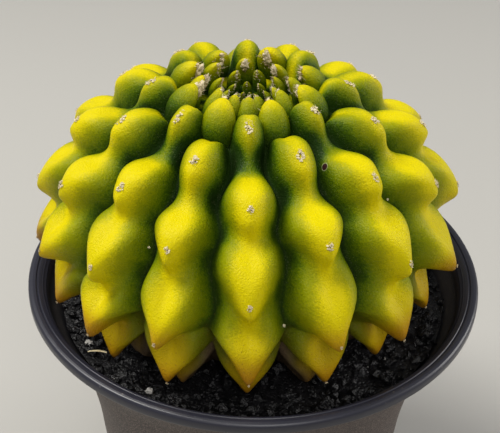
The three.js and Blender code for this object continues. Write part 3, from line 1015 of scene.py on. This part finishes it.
class MeshMaker:
    """Gathers vertices, faces and a value for each vertex, then makes one mesh of them."""

    def __init__(self) -> None:
        """Starts empty."""
        self.points: list[Vector] = []
        self.faces: list[tuple[int, ...]] = []
        self.marks: list[tuple[float, float, float]] = []

    def add(self, points: list[Vector], faces: list[tuple[int, ...]], marks: list[tuple]) -> None:
        """Adds a closed shape: its points in millimetres, its faces and its points' values.

        Args:
            points: its points.
            faces: its faces, as numbers of its own points.
            marks: a value for each point.
        """
        start = len(self.points)
        self.points += points
        self.faces += [tuple(start + i for i in face) for face in faces]
        self.marks += marks

    def rings(self, rings: list[list[Vector]], marks: list[tuple], ends: tuple[Vector, Vector]) -> None:
        """Adds a skin over rings of points, closed by a point at each end.

        Args:
            rings: rings of the same number of points, the same way round.
            marks: one value for each ring.
            ends: the points that close the first and the last ring.
        """
        count = len(rings[0])
        points = [point for ring in rings for point in ring] + list(ends)
        values = [mark for mark in marks for _ in range(count)] + [marks[0], marks[-1]]
        faces = []
        for j in range(len(rings) - 1):
            for i in range(count):
                a, b = j * count + i, j * count + (i + 1) % count
                faces.append((a, b, b + count, a + count))
        first, last = len(points) - 2, (len(rings) - 1) * count
        for i in range(count):
            faces.append((first, (i + 1) % count, i))
            faces.append((first + 1, last + i, last + (i + 1) % count))
        self.add(points, faces, values)

    def hair(self, root: Vector, tip: Vector, width: float, shade: float) -> None:
        """Adds one thin three-sided hair.

        Args:
            root: where it grows.
            tip: where it ends.
            width: its radius at the root.
            shade: its tone.
        """
        along = (tip - root).normalized()
        side = along.orthogonal().normalized() * width
        foot = [root + Matrix.Rotation(k * math.tau / 3, 3, along) @ side for k in range(3)]
        self.add(foot + [tip], [(0, 1, 3), (1, 2, 3), (2, 0, 3), (2, 1, 0)], [(shade, 0.0, 0.0)] * 4)

    def make(self, name: str, layer: str, smooth: bool = True) -> bpy.types.Object:
        """Makes the object, with the values in a colour attribute.

        Args:
            name: the object's name.
            layer: the attribute's name.
            smooth: whether its faces are smooth.

        Returns:
            The new object.
        """
        clear_selection()
        mesh = bpy.data.meshes.new(name)
        mesh.from_pydata([point * MM for point in self.points], [], self.faces)
        values = mesh.color_attributes.new(layer, "FLOAT_COLOR", "POINT")
        for value, mark in zip(values.data, self.marks):
            value.color = (*mark, 1.0)
        piece = bpy.data.objects.new(name, mesh)
        bpy.context.collection.objects.link(piece)
        activate(piece)
        recalculate(piece)
        if smooth:
            bpy.ops.object.shade_smooth()
        return piece


def recalculate(piece: bpy.types.Object, doubles: float = 0.0) -> None:
    """Turns a piece's faces outwards, after merging points closer than a distance in metres.

    Args:
        piece: the object.
        doubles: the distance, or 0 to merge none.
    """
    activate(piece)
    bpy.ops.object.mode_set(mode="EDIT")
    bpy.ops.mesh.select_all(action="SELECT")
    if doubles:
        bpy.ops.mesh.remove_doubles(threshold=doubles)
    bpy.ops.mesh.normals_make_consistent(inside=False)
    bpy.ops.object.mode_set(mode="OBJECT")


def crumpled(
    centre: Vector, radii: tuple[float, float, float], turn: Matrix, rough: float, seed: float, detail: int
) -> tuple[list[Vector], list[tuple[int, ...]]]:
    """A ball pulled out of shape.

    Args:
        centre: its middle.
        radii: its half sizes before it is turned.
        turn: how it is turned.
        rough: how far it is pulled about, as a share of its size.
        seed: where the roughness is read.
        detail: the icosphere's subdivisions.

    Returns:
        Its points and faces.
    """
    ball = bmesh.new()
    bmesh.ops.create_icosphere(ball, subdivisions=detail, radius=1.0)
    points = []
    for vertex in ball.verts:
        at = vertex.co * 1.7 + Vector((seed, seed * 1.7, -seed))
        push = 1 + rough * (noise.noise(at) + 0.5 * noise.noise(at * 2.3) + 0.25 * noise.noise(at * 5))
        spot = Vector(v * r for v, r in zip(vertex.co, radii)) * push
        points.append(centre + turn @ spot)
    faces = [tuple(v.index for v in face.verts) for face in ball.faces]
    ball.free()
    return points, faces


# ---- The crown -----------------------------------------------------------------------------


@dataclass
class YoungTubercle:
    """One young tubercle of the crown: where it stands and how big it is."""

    azimuth: float
    base: Vector
    tip: Vector
    width: float
    thickness: float
    ring: int

    @property
    def side(self) -> Vector:
        """The direction across it."""
        return Vector((math.cos(self.azimuth), math.sin(self.azimuth), 0))

    @property
    def up(self) -> Vector:
        """The direction along it."""
        return (self.tip - self.base).normalized()

    @property
    def inwards(self) -> Vector:
        """The direction of the face that looks at the crown's middle."""
        return self.up.cross(self.side).normalized()

    def point(self, along: float, around: float) -> Vector:
        """A point of its skin, at a share of its height and an angle from its inner face.

        Args:
            along: the share of its height.
            around: the angle.

        Returns:
            The point.
        """
        full = (1 - max(0.0, (along - 0.34) / 0.66) ** 2.3) ** 0.62
        full *= 0.84 + 0.16 * ease(-0.1, 0.34, along)
        lean = 0.9 * math.sin(along * math.pi)
        inner = math.cos(around)
        depth = self.thickness / 2 * (0.62 if inner > 0 else 1.0) * inner
        middle = self.base.lerp(self.tip, along) - self.inwards * lean
        return middle + self.side * (self.width / 2 * full * math.sin(around)) + self.inwards * (depth * full)


@dataclass
class Crown:
    """The young tubercles that stand in the crown's hollow, with their felt and dry flowers."""

    form: StemForm
    seed: int = 7
    rings: tuple[tuple[float, ...], ...] = (
        (1, 21.0, 16.0, 66.5, 9.4, 9.0),
        (0, 14.8, 11.3, 65.6, 6.2, 5.6),
        (1, 10.0, 7.8, 63.8, 4.3, 4.0),
        (0, 6.2, 4.9, 61.5, 3.0, 2.8),
        (1, 2.9, 2.2, 59.6, 2.0, 1.9),
    )
    sink: float = 1.5
    sides: int = 14
    steps: int = 10
    ripeness: tuple[float, ...] = (0.30, 0.18, 0.12, 0.05, 0.0)
    felt_hairs: int = 34
    inner_felt_hairs: int = 14
    flower_hairs: int = 24
    flowers: tuple[tuple[int, int], ...] = ((0, 7), (0, 11), (0, 13), (1, 8), (1, 12), (1, 6))
    young: list[YoungTubercle] = field(default_factory=list)

    def build(self) -> bpy.types.Object:
        """Shapes every young tubercle as one skin.

        Returns:
            The young tubercles.
        """
        chance = random.Random(self.seed)
        maker = MeshMaker()
        form = self.form
        for ring, (odd, base_radius, tip_radius, tip_height, width, thickness) in enumerate(self.rings):
            for rib in range(int(odd), form.ribs, 2):
                azimuth = form.state(rib, 1)[0] + chance.uniform(-0.05, 0.05)
                grown = chance.uniform(0.93, 1.06)
                base = form.place(azimuth, base_radius, form.floor - self.sink)
                height = form.floor + (tip_height - form.floor) * min(grown, 1.0)
                turn = azimuth + chance.uniform(-0.04, 0.04)
                tip = form.place(turn, tip_radius * chance.uniform(0.95, 1.05), height)
                young = YoungTubercle(azimuth, base, tip, width * grown, thickness * grown, ring)
                self.young.append(young)
                self._skin(maker, young, chance.uniform(-0.12, 0.12))
        return maker.make("young_tubercles", "form")

    def _skin(self, maker: MeshMaker, young: YoungTubercle, tint: float) -> None:
        """Adds one tubercle's skin.

        Args:
            maker: what gathers the mesh.
            young: the tubercle.
            tint: how much paler it is than its ring.
        """
        shares = [k / self.steps for k in range(self.steps)] + [0.96]
        rings = [
            [young.point(share, i / self.sides * math.tau) for i in range(self.sides)] for share in shares
        ]
        ripe = self.ripeness[young.ring]
        marks = [(0.30 + tint + (0.56 + ripe) * share**1.5, 0.05, 0.0) for share in shares]
        maker.rings(rings, marks, (young.base, young.point(1.0, 0)))

    def build_felt(self) -> bpy.types.Object:
        """Lays felt on the tips and down the inner faces.

        Returns:
            The felt.
        """
        chance = random.Random(self.seed + 1)
        maker = MeshMaker()
        for young in self.young:
            reach = young.width * 0.20
            for _ in range(self.felt_hairs if young.ring < 3 else self.inner_felt_hairs):
                along = 1.0 - 0.42 * chance.random() ** 1.6
                around = chance.gauss(0, 0.45)
                root = young.point(along, around)
                way = young.inwards * chance.uniform(0.2, 1.0) + young.up * chance.uniform(0.1, 1.0)
                way += young.side * chance.uniform(-0.7, 0.7)
                end = root + way.normalized() * reach * chance.uniform(0.5, 1.2)
                maker.hair(root, end, 0.09, chance.uniform(0.3, 1))
            for k in range(3):
                along = 0.98 - 0.11 * k
                size = reach * chance.uniform(0.34, 0.5)
                turn = Matrix.Rotation(chance.uniform(0, 6), 3, "Z")
                spot = young.point(along, 0)
                radii = (size, size * 0.8, size)
                points, faces = crumpled(spot, radii, turn, 0.8, chance.uniform(0, 90), 1)
                maker.add(points, faces, [(chance.uniform(0.4, 0.9), 0.0, 0.0)] * len(points))
        return maker.make("crown_felt", "shade", smooth=False)

    def build_flowers(self) -> bpy.types.Object:
        """Shapes the dry flowers that stick to some tubercles' inner faces.

        Returns:
            The dry flowers.
        """
        chance = random.Random(self.seed + 2)
        maker = MeshMaker()
        for ring, rib in self.flowers:
            azimuth = self.form.state(rib, 1)[0]
            young = min(
                (one for one in self.young if one.ring == ring), key=lambda one: abs(one.azimuth - azimuth)
            )
            turn = Matrix((young.side, young.inwards, young.up)).transposed()
            size = 1.0 if ring == 0 else 0.75
            head = young.point(0.86, 0) + young.inwards * 0.5 * size
            for k, (along, fat) in enumerate(((-1.7, 0.75), (0.0, 1.15), (1.3, 0.8))):
                spot = head + young.up * along * size + young.side * chance.uniform(-0.4, 0.4)
                radii = (fat * size, 0.75 * fat * size, 1.5 * size)
                points, faces = crumpled(spot, radii, turn, 0.9, chance.uniform(0, 90), 3)
                maker.add(points, faces, [(0.45 + 0.25 * k, 0.0, 0.0)] * len(points))
            for _ in range(self.flower_hairs):
                foot = Vector((chance.gauss(0, 0.6), chance.gauss(0, 0.4), chance.uniform(0, 1.5)))
                root = head + turn @ foot
                lean = Vector((chance.gauss(0, 0.6), chance.gauss(0.4, 0.5), chance.uniform(0.3, 1.4)))
                way = turn @ lean
                maker.hair(root, root + way * size, 0.08, chance.uniform(0.4, 1))
        return maker.make("dry_flowers", "shade")


# ---- Areoles -------------------------------------------------------------------------------


@dataclass
class Areoles:
    """The felted cushions on the noses, each with a dark middle."""

    form: StemForm
    seed: int = 11
    sizes: Curve = Curve(
        (1, 1.0, 1.9),
        (1.5, 0.95, 1.6),
        (2, 0.85, 1.3),
        (3, 0.7, 0.9),
        (3.5, 0.42, 0.5),
        (5, 0.3, 0.34),
    )
    shares: Curve = Curve((1, 0.90), (1.5, 0.86), (2, 0.84), (3, 0.84), (3.5, 0.9), (5, 0.93))
    hairs: int = 40
    tufts: int = 16
    last_nose: float = 4.6

    def build(self) -> bpy.types.Object:
        """Puts one on every nose above the soil.

        Returns:
            The cushions.
        """
        chance = random.Random(self.seed)
        maker = MeshMaker()
        for rib in range(self.form.ribs):
            nose = 1.5 if rib % 2 else 1.0
            while nose < self.last_nose:
                row = nose + self.form.down(rib, nose) - 1 + self.shares(nose)[0]
                self._cushion(maker, chance, rib, row, nose)
                nose += 1.0
        return maker.make("areoles", "shade", smooth=False)

    def _cushion(self, maker: MeshMaker, chance: random.Random, rib: int, row: float, nose: float) -> None:
        """Adds one cushion: tufts of felt with hairs standing out of them, round a dark bud.

        Args:
            maker: what gathers the mesh.
            chance: the source of random numbers.
            rib: the rib's number.
            row: the cushion's position down the rib.
            nose: the nose's position, which sets the cushion's size.
        """
        form = self.form
        middle = form.skin(rib, 0.0, row)
        along = (form.skin(rib, 0.0, row + 0.03) - form.skin(rib, 0.0, row - 0.03)).normalized()
        across = form.skin(rib, 0.06, row) - form.skin(rib, -0.06, row)
        out = across.cross(along).normalized()
        if out.dot(middle - Vector((*form.offset, form.pot_height + 20))) < 0:
            out = -out
        across = along.cross(out).normalized()
        half, length = (v * chance.uniform(0.8, 1.15) for v in self.sizes(nose))
        middle += along * chance.uniform(-0.3, 0.3) + across * chance.uniform(-0.25, 0.25)
        seed = chance.uniform(0, 90)

        def spot(share: float, angle: float, lift: float) -> Vector:
            """A point of the pad."""
            wobble = 1 + 0.3 * noise.noise(Vector((math.cos(angle) * 1.6, math.sin(angle) * 1.6, seed)))
            x, y = share * wobble * half * math.cos(angle), share * wobble * length * math.sin(angle)
            return middle + across * x + along * y + out * lift

        for k in range(self.tufts):
            share = 0.25 if k == 0 else math.sqrt(chance.uniform(0.02, 0.9))
            size = half * (0.24 if k == 0 else chance.uniform(0.28, 0.5))
            turn = Matrix.Rotation(chance.uniform(0, math.tau), 3, "Z")
            centre = spot(share, chance.uniform(0, math.tau), size * (1.0 if k == 0 else 0.05))
            radii = (size, size * 0.7, size * 0.45)
            points, faces = crumpled(centre, radii, turn, 0.9, chance.uniform(0, 90), 2)
            shade = 0.05 if k == 0 else chance.uniform(0.6, 1.0) * (0.6 if nose > 3.2 else 1.0)
            maker.add(points, faces, [(shade, 0.0, 0.0)] * len(points))
        for _ in range(self.hairs):
            share, angle = math.sqrt(chance.uniform(0.12, 1)), chance.uniform(0, math.tau)
            root = spot(share, angle, 0.1)
            way = out * chance.uniform(0.25, 0.9) + (root - middle) * 0.45 / half
            way += Vector(chance.uniform(-0.3, 0.3) for _ in range(3))
            tip = root + way * chance.uniform(0.4, 0.9) * half / 1.3
            maker.hair(root, tip, 0.07, chance.uniform(0.5, 1.0))


# ---- The pot -------------------------------------------------------------------------------


@dataclass
class Pot:
    """The flared round pot with its rolled lip, turned from one profile."""

    height: float = 105.0
    foot_radius: float = 46.0
    foot_ring: float = 5.0
    recess: float = 2.6
    floor_top: float = 4.8
    drain: float = 7.0
    wall: float = 1.8
    steps: int = 144
    shape: Curve = Curve((3.4, 66.8), (12, 62), (24, 56.976), (45, 52.4), (65, 50.352), (105, 46))
    wall_depths: tuple[float, ...] = (
        *range(102, 54, -6), 54, 49, 45, 41, 37, 33, *range(30, 12, -3), 12, 9.5, 7, 5, 4
    )
    lip: tuple[tuple[float, float], ...] = (
        (67.2, 101.62),
        (69.2, 101.6),
        (69.75, 101.8),
        (70.0, 102.3),
        (70.0, 103.5),
        (69.93, 104.2),
        (69.6, 104.75),
        (69.0, 104.98),
        (68.0, 104.98),
        (67.62, 104.8),
        (67.5, 104.35),
        (67.3, 104.3),
        (67.15, 104.6),
        (66.9, 104.72),
        (66.5, 104.6),
        (65.9, 103.9),
        (65.55, 103.75),
        (65.35, 103.3),
        (65.0, 103.1),
        (64.5, 102.4),
    )

    def profile(self) -> list[tuple[float, float]]:
        """The section's points, as radius and height, all the way round.

        Returns:
            The points, in order.
        """
        ring = self.foot_radius - self.foot_ring
        points = [(self.drain, self.recess + 0.3), (self.drain + 0.3, self.recess), (ring, self.recess)]
        points += [(ring + 1, 0.3), (ring + 1.4, 0.0)]
        points += [(self.foot_radius - 0.7, 0.0), (self.foot_radius - 0.1, 0.4)]
        points += [(self.shape(depth)[0], self.height - depth) for depth in self.wall_depths]
        points += list(self.lip)
        inner = [depth for depth in reversed(self.wall_depths) if 5 <= depth < 100]
        points += [(self.shape(depth)[0] - self.wall, self.height - depth) for depth in inner]
        corner = self.shape(self.height - self.floor_top)[0] - self.wall
        points += [(corner, self.floor_top + 1.5), (corner - 1.5, self.floor_top)]
        points += [(self.drain + 0.3, self.floor_top), (self.drain, self.floor_top - 0.3)]
        return points

    def build(self) -> bpy.types.Object:
        """Spins the profile round the pot's axis.

        Returns:
            The pot's shell.
        """
        clear_selection()
        points = self.profile()
        mesh = bpy.data.meshes.new("pot_shell")
        count = len(points)
        loop = [(i, (i + 1) % count) for i in range(count)]
        mesh.from_pydata([(r * MM, 0, z * MM) for r, z in points], loop, [])
        piece = bpy.data.objects.new("pot_shell", mesh)
        bpy.context.collection.objects.link(piece)
        activate(piece)
        bpy.ops.object.mode_set(mode="EDIT")
        bpy.ops.mesh.select_all(action="SELECT")
        bpy.ops.mesh.spin(steps=self.steps, angle=math.tau, center=(0, 0, 0), axis=(0, 0, 1))
        bpy.ops.object.mode_set(mode="OBJECT")
        recalculate(piece, 0.00001)
        self._zones(piece)
        bpy.ops.object.shade_smooth_by_angle(angle=math.radians(40))
        return piece

    def _zones(self, piece: bpy.types.Object) -> None:
        """Marks what is inside, on the lip, and dusty.

        Args:
            piece: the pot's shell.
        """
        layer = piece.data.color_attributes.new("zone", "FLOAT_COLOR", "POINT")
        for vertex, value in zip(piece.data.vertices, layer.data):
            r, z = math.hypot(vertex.co.x, vertex.co.y) / MM, vertex.co.z / MM
            on_lip = 1.0 if z > self.height - 3.5 else 0.0
            inside = 1.0 if not on_lip and r < self.shape(self.height - z)[0] - self.wall / 2 else 0.0
            dusty = ease(93.5, 95.5, z) * ease(100.5, 96.5, z) * inside
            value.color = (inside, on_lip, dusty, 1.0)


# ---- The ground ----------------------------------------------------------------------------


@dataclass
class Ground:
    """The black lava grit: a bed of small broken grains, and the larger stones on it."""

    pot: Pot
    level: float = 94.8
    seed: int = 23
    inner: float = 30.0
    grain_count: int = 1500
    grain_size: tuple[float, float] = (2.0, 5.0)
    grain_corners: int = 11
    crumb_count: int = 34
    crumb_size: tuple[float, float] = (0.3, 0.8)
    stone_back: float = 4.4
    stones: tuple[tuple[float, float], ...] = (
        (68, 5.4),
        (76, 4.6),
        (44, 4.4),
        (-22, 4.2),
        (22, 4.6),
        (128, 5),
        (200, 4.6),
        (-100, 4.8),
    )
    pumice: tuple[tuple[float, float], ...] = ((-30, 2.2), (-58, 2.4), (160, 2.2))
    straw_degrees: float = -52.0
    straw_length: float = 7.0

    def _reach(self) -> float:
        """The radius inside the pot at the grit's level."""
        return self.pot.shape(self.pot.height - self.level)[0] - self.pot.wall

    def _spot(self, degrees: float, back: float, height: float) -> Vector:
        """A place on the bed, some way in from the pot's wall.

        Args:
            degrees: the angle from the front.
            back: how far in it is.
            height: how far above the grit's level.

        Returns:
            The place.
        """
        turn = math.radians(degrees)
        r = self._reach() - back
        return Vector((r * math.sin(turn), -r * math.cos(turn), self.level + height))

    def build_grains(self, stem: bpy.types.Object) -> bpy.types.Object:
        """Scatters broken grains over the bed, outside the stem.

        Args:
            stem: the finished stem.

        Returns:
            The grains.
        """
        chance = random.Random(self.seed)
        tree = BVHTree.FromObject(stem, bpy.context.evaluated_depsgraph_get())
        maker = MeshMaker()
        reach = self._reach()
        made = 0
        while made < self.grain_count:
            size = lerp(*self.grain_size, chance.random() ** 1.7)
            r = math.sqrt(chance.uniform(self.inner**2, (reach - size * 0.42) ** 2))
            turn = chance.uniform(0, math.tau)
            high = self.level - 0.1 + chance.uniform(-0.9, 0.7) + 0.4 * ease(52, 61, r)
            at = Vector((r * math.sin(turn), -r * math.cos(turn), high))
            made += 1
            if self._in_stem(tree, at, size * 0.35):
                continue
            points, faces = self._grain(chance, at, size)
            maker.add(points, faces, [(chance.random(), 0.0, 0.0)] * len(points))
        return maker.make("lava_grains", "shade", smooth=False)

    def _in_stem(self, tree: BVHTree, at: Vector, margin: float) -> bool:
        """Whether a point is inside the stem or closer to it than the margin."""
        place, normal, _, distance = tree.find_nearest(at * MM)
        return (at * MM - place).dot(normal) < 0 or distance < margin * MM

    def _grain(
        self, chance: random.Random, at: Vector, size: float
    ) -> tuple[list[Vector], list[tuple[int, ...]]]:
        """One grain: the hull of a few points.

        Args:
            chance: the source of random numbers.
            at: its middle.
            size: its width.

        Returns:
            Its points and faces.
        """
        cloud = bmesh.new()
        flat = chance.uniform(0.62, 0.95)
        for _ in range(self.grain_corners):
            way = Vector(chance.gauss(0, 1) for _ in range(3)).normalized()
            spot = way * size / 2 * chance.uniform(0.8, 1.05)
            cloud.verts.new(at + Vector((spot.x, spot.y * 0.9, spot.z * flat)))
        hull = bmesh.ops.convex_hull(cloud, input=cloud.verts[:])
        inside = {v for v in hull["geom_interior"] if isinstance(v, bmesh.types.BMVert)}
        bmesh.ops.delete(cloud, geom=list(inside))
        cloud.verts.index_update()
        points = [vertex.co.copy() for vertex in cloud.verts]
        faces = [tuple(vertex.index for vertex in face.verts) for face in cloud.faces]
        cloud.free()
        return points, faces

    def build_stones(self) -> bpy.types.Object:
        """Shapes the larger stones that lie on the grit.

        Returns:
            The stones.
        """
        chance = random.Random(self.seed + 1)
        maker = MeshMaker()
        for degrees, size in self.stones:
            spot = self._spot(degrees, self.stone_back, size * 0.30)
            radii = (size * 0.5, size * chance.uniform(0.38, 0.47), size * chance.uniform(0.34, 0.4))
            tilt = (chance.uniform(-0.4, 0.4), chance.uniform(-0.4, 0.4), math.radians(degrees))
            turn = Euler(tilt).to_matrix()
            points, faces = crumpled(spot, radii, turn, 0.42, chance.uniform(0, 90), 4)
            maker.add(points, faces, [(0.5, 0.0, 0.0)] * len(points))
        piece = maker.make("lava_stones", "shade")
        bpy.ops.object.shade_smooth_by_angle(angle=math.radians(28))
        return piece

    def build_crumbs(self, stem: bpy.types.Object) -> bpy.types.Object:
        """Shapes the pale pumice grains and the specks scattered with them.

        Args:
            stem: the finished stem.

        Returns:
            The pale grains.
        """
        chance = random.Random(self.seed + 2)
        tree = BVHTree.FromObject(stem, bpy.context.evaluated_depsgraph_get())
        maker = MeshMaker()
        for degrees, size in self.pumice:
            spot = self._spot(degrees, self.stone_back, size * 0.5)
            radii = (size * 0.46, size * 0.38, size * 0.36)
            points, faces = crumpled(spot, radii, Matrix.Identity(3), 0.5, chance.uniform(0, 90), 3)
            maker.add(points, faces, [(0.9, 0.0, 0.0)] * len(points))
        for _ in range(self.crumb_count):
            size = lerp(*self.crumb_size, chance.random() ** 4)
            turn = chance.uniform(0, math.tau)
            r = math.sqrt(chance.uniform(46**2, (self._reach() - 1) ** 2))
            at = Vector((r * math.sin(turn), -r * math.cos(turn), self.level + chance.uniform(0.1, 0.7)))
            if self._in_stem(tree, at, size):
                continue
            points, faces = self._grain(chance, at, size)
            maker.add(points, faces, [(chance.random(), 0.0, 0.0)] * len(points))
        return maker.make("pumice_crumbs", "shade", smooth=False)

    def build_straw(self) -> bpy.types.Object:
        """Bends a sliver of straw that lies against the wall.

        Returns:
            The straw.
        """
        maker = MeshMaker()
        turn = math.radians(self.straw_degrees)
        along = Vector((math.cos(turn + 0.5), math.sin(turn + 0.5), 0.34)).normalized()
        middle = self._spot(self.straw_degrees, 4.2, 2.3)
        side = along.cross(Vector((0, 0, 1))).normalized()
        rings, marks = [], []
        steps, sides = 12, 7
        for k in range(steps + 1):
            share = k / steps - 0.5
            at = middle + along * (share * self.straw_length) + Vector((0, 0, 0.5 * (0.25 - share**2) * 4))
            wide = 0.42 * (1 - 0.5 * abs(share)) + 0.05 * math.sin(k * 2.1)
            up = side.cross(along)
            spin = [i / sides * math.tau for i in range(sides)]
            rings.append([at + side * (wide * math.cos(a)) + up * (0.5 * wide * math.sin(a)) for a in spin])
            marks.append((0.5 + 0.4 * math.sin(k), 0.0, 0.0))
        ends = (middle - along * self.straw_length * 0.51, middle + along * self.straw_length * 0.51)
        maker.rings(rings, marks, ends)
        return maker.make("straw_sliver", "shade")


@dataclass
class Flecks:
    """Pale specks that have fallen into the grooves of the plant."""

    form: StemForm
    places: tuple[tuple[int, float, float, float], ...] = (
        (0, 0.93, 3.25, 0.42),
        (15, 0.96, 3.95, 0.42),
        (1, 0.86, 2.95, 0.5),
        (14, 0.9, 2.4, 0.3),
        (3, -0.9, 2.1, 0.3),
        (9, 0.8, 2.8, 0.4),
    )

    def build(self) -> bpy.types.Object:
        """Makes each one a small crumpled flake.

        Returns:
            The flecks.
        """
        maker = MeshMaker()
        for k, (rib, across, row, size) in enumerate(self.places):
            spot = self.form.skin(rib, across, row)
            points, faces = crumpled(spot, (size, size, size), Matrix.Identity(3), 0.8, k * 3.1, 2)
            maker.add(points, faces, [(1.0, 0.0, 0.0)] * len(points))
        return maker.make("pale_flecks", "shade", smooth=False)


# ---- Studio --------------------------------------------------------------------------------


@dataclass
class Studio:
    """A pale floor, soft lights and the camera."""

    eye: tuple[float, float, float] = (0.0, -0.2514, 0.2963)
    aim: tuple[float, float, float] = (-0.0015, 0.0, 0.1223)
    roll: float = 0.023
    lens: float = 72.0
    key_tint: Colour = (1.0, 0.98, 0.93)
    soft_tint: Colour = (1.0, 0.98, 0.95)
    sky: Colour = (0.82, 0.84, 0.86)
    sky_strength: float = 0.30
    floor_size: float = 8.0
    painted_lit_floor: Colour = (0.43, 0.42, 0.395)
    painted_shaded_floor: Colour = (0.39, 0.38, 0.36)

    def build(self) -> None:
        """Makes all of it."""
        self._camera()
        self._floor()
        self._area("key_light", (-0.50, 0.10, 0.95), 0.5, 11.0, self.key_tint)
        self._area("side_light", (0.95, 0.25, 0.5), 0.6, 6.0, self.soft_tint)
        self._area("fill_light", (0.1, -0.8, 1.0), 0.6, 5.0, self.soft_tint)
        world = bpy.data.worlds.new("studio")
        bpy.context.scene.world = world
        world.use_nodes = True
        background = world.node_tree.nodes["Background"]
        background.inputs[0].default_value = (*self.sky, 1)
        background.inputs[1].default_value = self.sky_strength
        bpy.context.scene.view_settings.view_transform = "Standard"

    def _camera(self) -> None:
        """Points the camera from the eye at the aim, slightly rolled."""
        camera = bpy.data.cameras.new("camera")
        camera.lens = self.lens
        camera.sensor_width = 36.0
        camera.clip_start = 0.01
        piece = bpy.data.objects.new("camera", camera)
        bpy.context.collection.objects.link(piece)
        look = Vector(self.aim) - Vector(self.eye)
        turn = look.to_track_quat("-Z", "Y").to_matrix()
        turn = turn @ Matrix.Rotation(self.roll, 3, "Z")
        piece.matrix_world = Matrix.Translation(self.eye) @ turn.to_4x4()
        bpy.context.scene.camera = piece

    def _floor(self) -> None:
        """Lays a wide pale floor under the pot, with a painted soft gradient of light."""
        clear_selection()
        bpy.ops.mesh.primitive_plane_add(size=self.floor_size, location=(0, 0, 0))
        floor = bpy.context.object
        floor.name = "floor"
        s = Shader("floor_paint")
        # A slow noise blends a lit and a shaded grey: a painted soft light gradient over the floor.
        grey = s.mix(s.noise(2.5, 2, 0.5) * 0.4, self.painted_lit_floor, self.painted_shaded_floor)
        floor.data.materials.append(s.done(Base_Color=grey, Roughness=0.9))

    def _area(
        self, name: str, place: tuple[float, float, float], size: float, power: float, tint: Colour
    ) -> None:
        """Adds one square soft light that faces the plant.

        Args:
            name: its name.
            place: where it hangs, in metres.
            size: its side, in metres.
            power: its power, in watts.
            tint: its colour.
        """
        light = bpy.data.lights.new(name, "AREA")
        light.size = size
        light.energy = power
        light.color = tint
        piece = bpy.data.objects.new(name, light)
        bpy.context.collection.objects.link(piece)
        look = Vector((0, 0, 0.12)) - Vector(place)
        piece.matrix_world = Matrix.Translation(place) @ look.to_track_quat("-Z", "Y").to_matrix().to_4x4()


def numbered(word: str, count: int) -> list[str]:
    """The names of a run of CAD nodes."""
    return [f"{word}_{k + 1}" for k in range(count)]


def main() -> None:
    """Builds every piece in order."""
    logging.basicConfig(level=logging.INFO, format="%(name)s: %(message)s")
    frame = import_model()
    Studio().build()

    form = StemForm()
    scar_place = form.skin(2, -0.8, 1.33) * MM
    burn_place = form.skin(3, 0.3, 1.42) * MM
    skin = CactusSkin(scar_place=scar_place, burn_place=burn_place).make()
    felt = Fluff().make()
    stem = Stem(form).build()
    adopt(stem, "ribbed_stem", skin, "cactus_skin", "cactus_stem")
    crown = Crown(form)
    adopt(crown.build(), "young_tubercles", skin, "cactus_skin")
    adopt(crown.build_felt(), "crown_felt", felt, "dry_husk")
    husk = Fluff("dry_husk", (0.66, 0.56, 0.38), (0.42, 0.30, 0.16), (0.10, 0.06, 0.03)).make()
    adopt(crown.build_flowers(), "dry_flowers", husk, "dry_husk", *numbered("flower_remnant", 6))
    adopt(Areoles(form).build(), "areoles", felt, "dry_husk")
    adopt(Flecks(form).build(), "pale_flecks", felt, "dry_husk")

    pot = Pot()
    adopt(pot.build(), "pot_shell", PotPlastic().make(), "pot_plastic", "pot")
    ground = Ground(pot)
    lava = Rock("lava_grit", (0.002, 0.002, 0.0025), (0.011, 0.0105, 0.012), 0.62).make()
    pumice = Rock("pumice", (0.45, 0.43, 0.40), (0.80, 0.78, 0.74), 0.15, 1600).make()
    straw = Fibrous("straw", (0.42, 0.33, 0.17), (0.78, 0.70, 0.48), 500, 0.55).make()
    adopt(ground.build_grains(stem), "lava_grains", lava, "lava_grit")
    adopt(ground.build_stones(), "lava_stones", lava, "lava_grit", *numbered("lava_stone", 8))
    adopt(ground.build_crumbs(stem), "pumice_crumbs", pumice, "pumice", *numbered("pumice_grain", 3))
    adopt(ground.build_straw(), "straw_sliver", straw, "straw", "dry_straw")
    dress_node(frame["nodes"]["grit_layer"], lava)
    peat = Fibrous("peat", (0.018, 0.010, 0.005), (0.09, 0.05, 0.025), 420, 0.95).make()
    dress_node(frame["nodes"]["potting_mix"], peat)
    bark = Fibrous("root_bark", (0.20, 0.12, 0.05), (0.50, 0.36, 0.19), 380, 0.85).make()
    dress_node(frame["nodes"]["taproot"], bark)


if __name__ == "__main__":
    main()
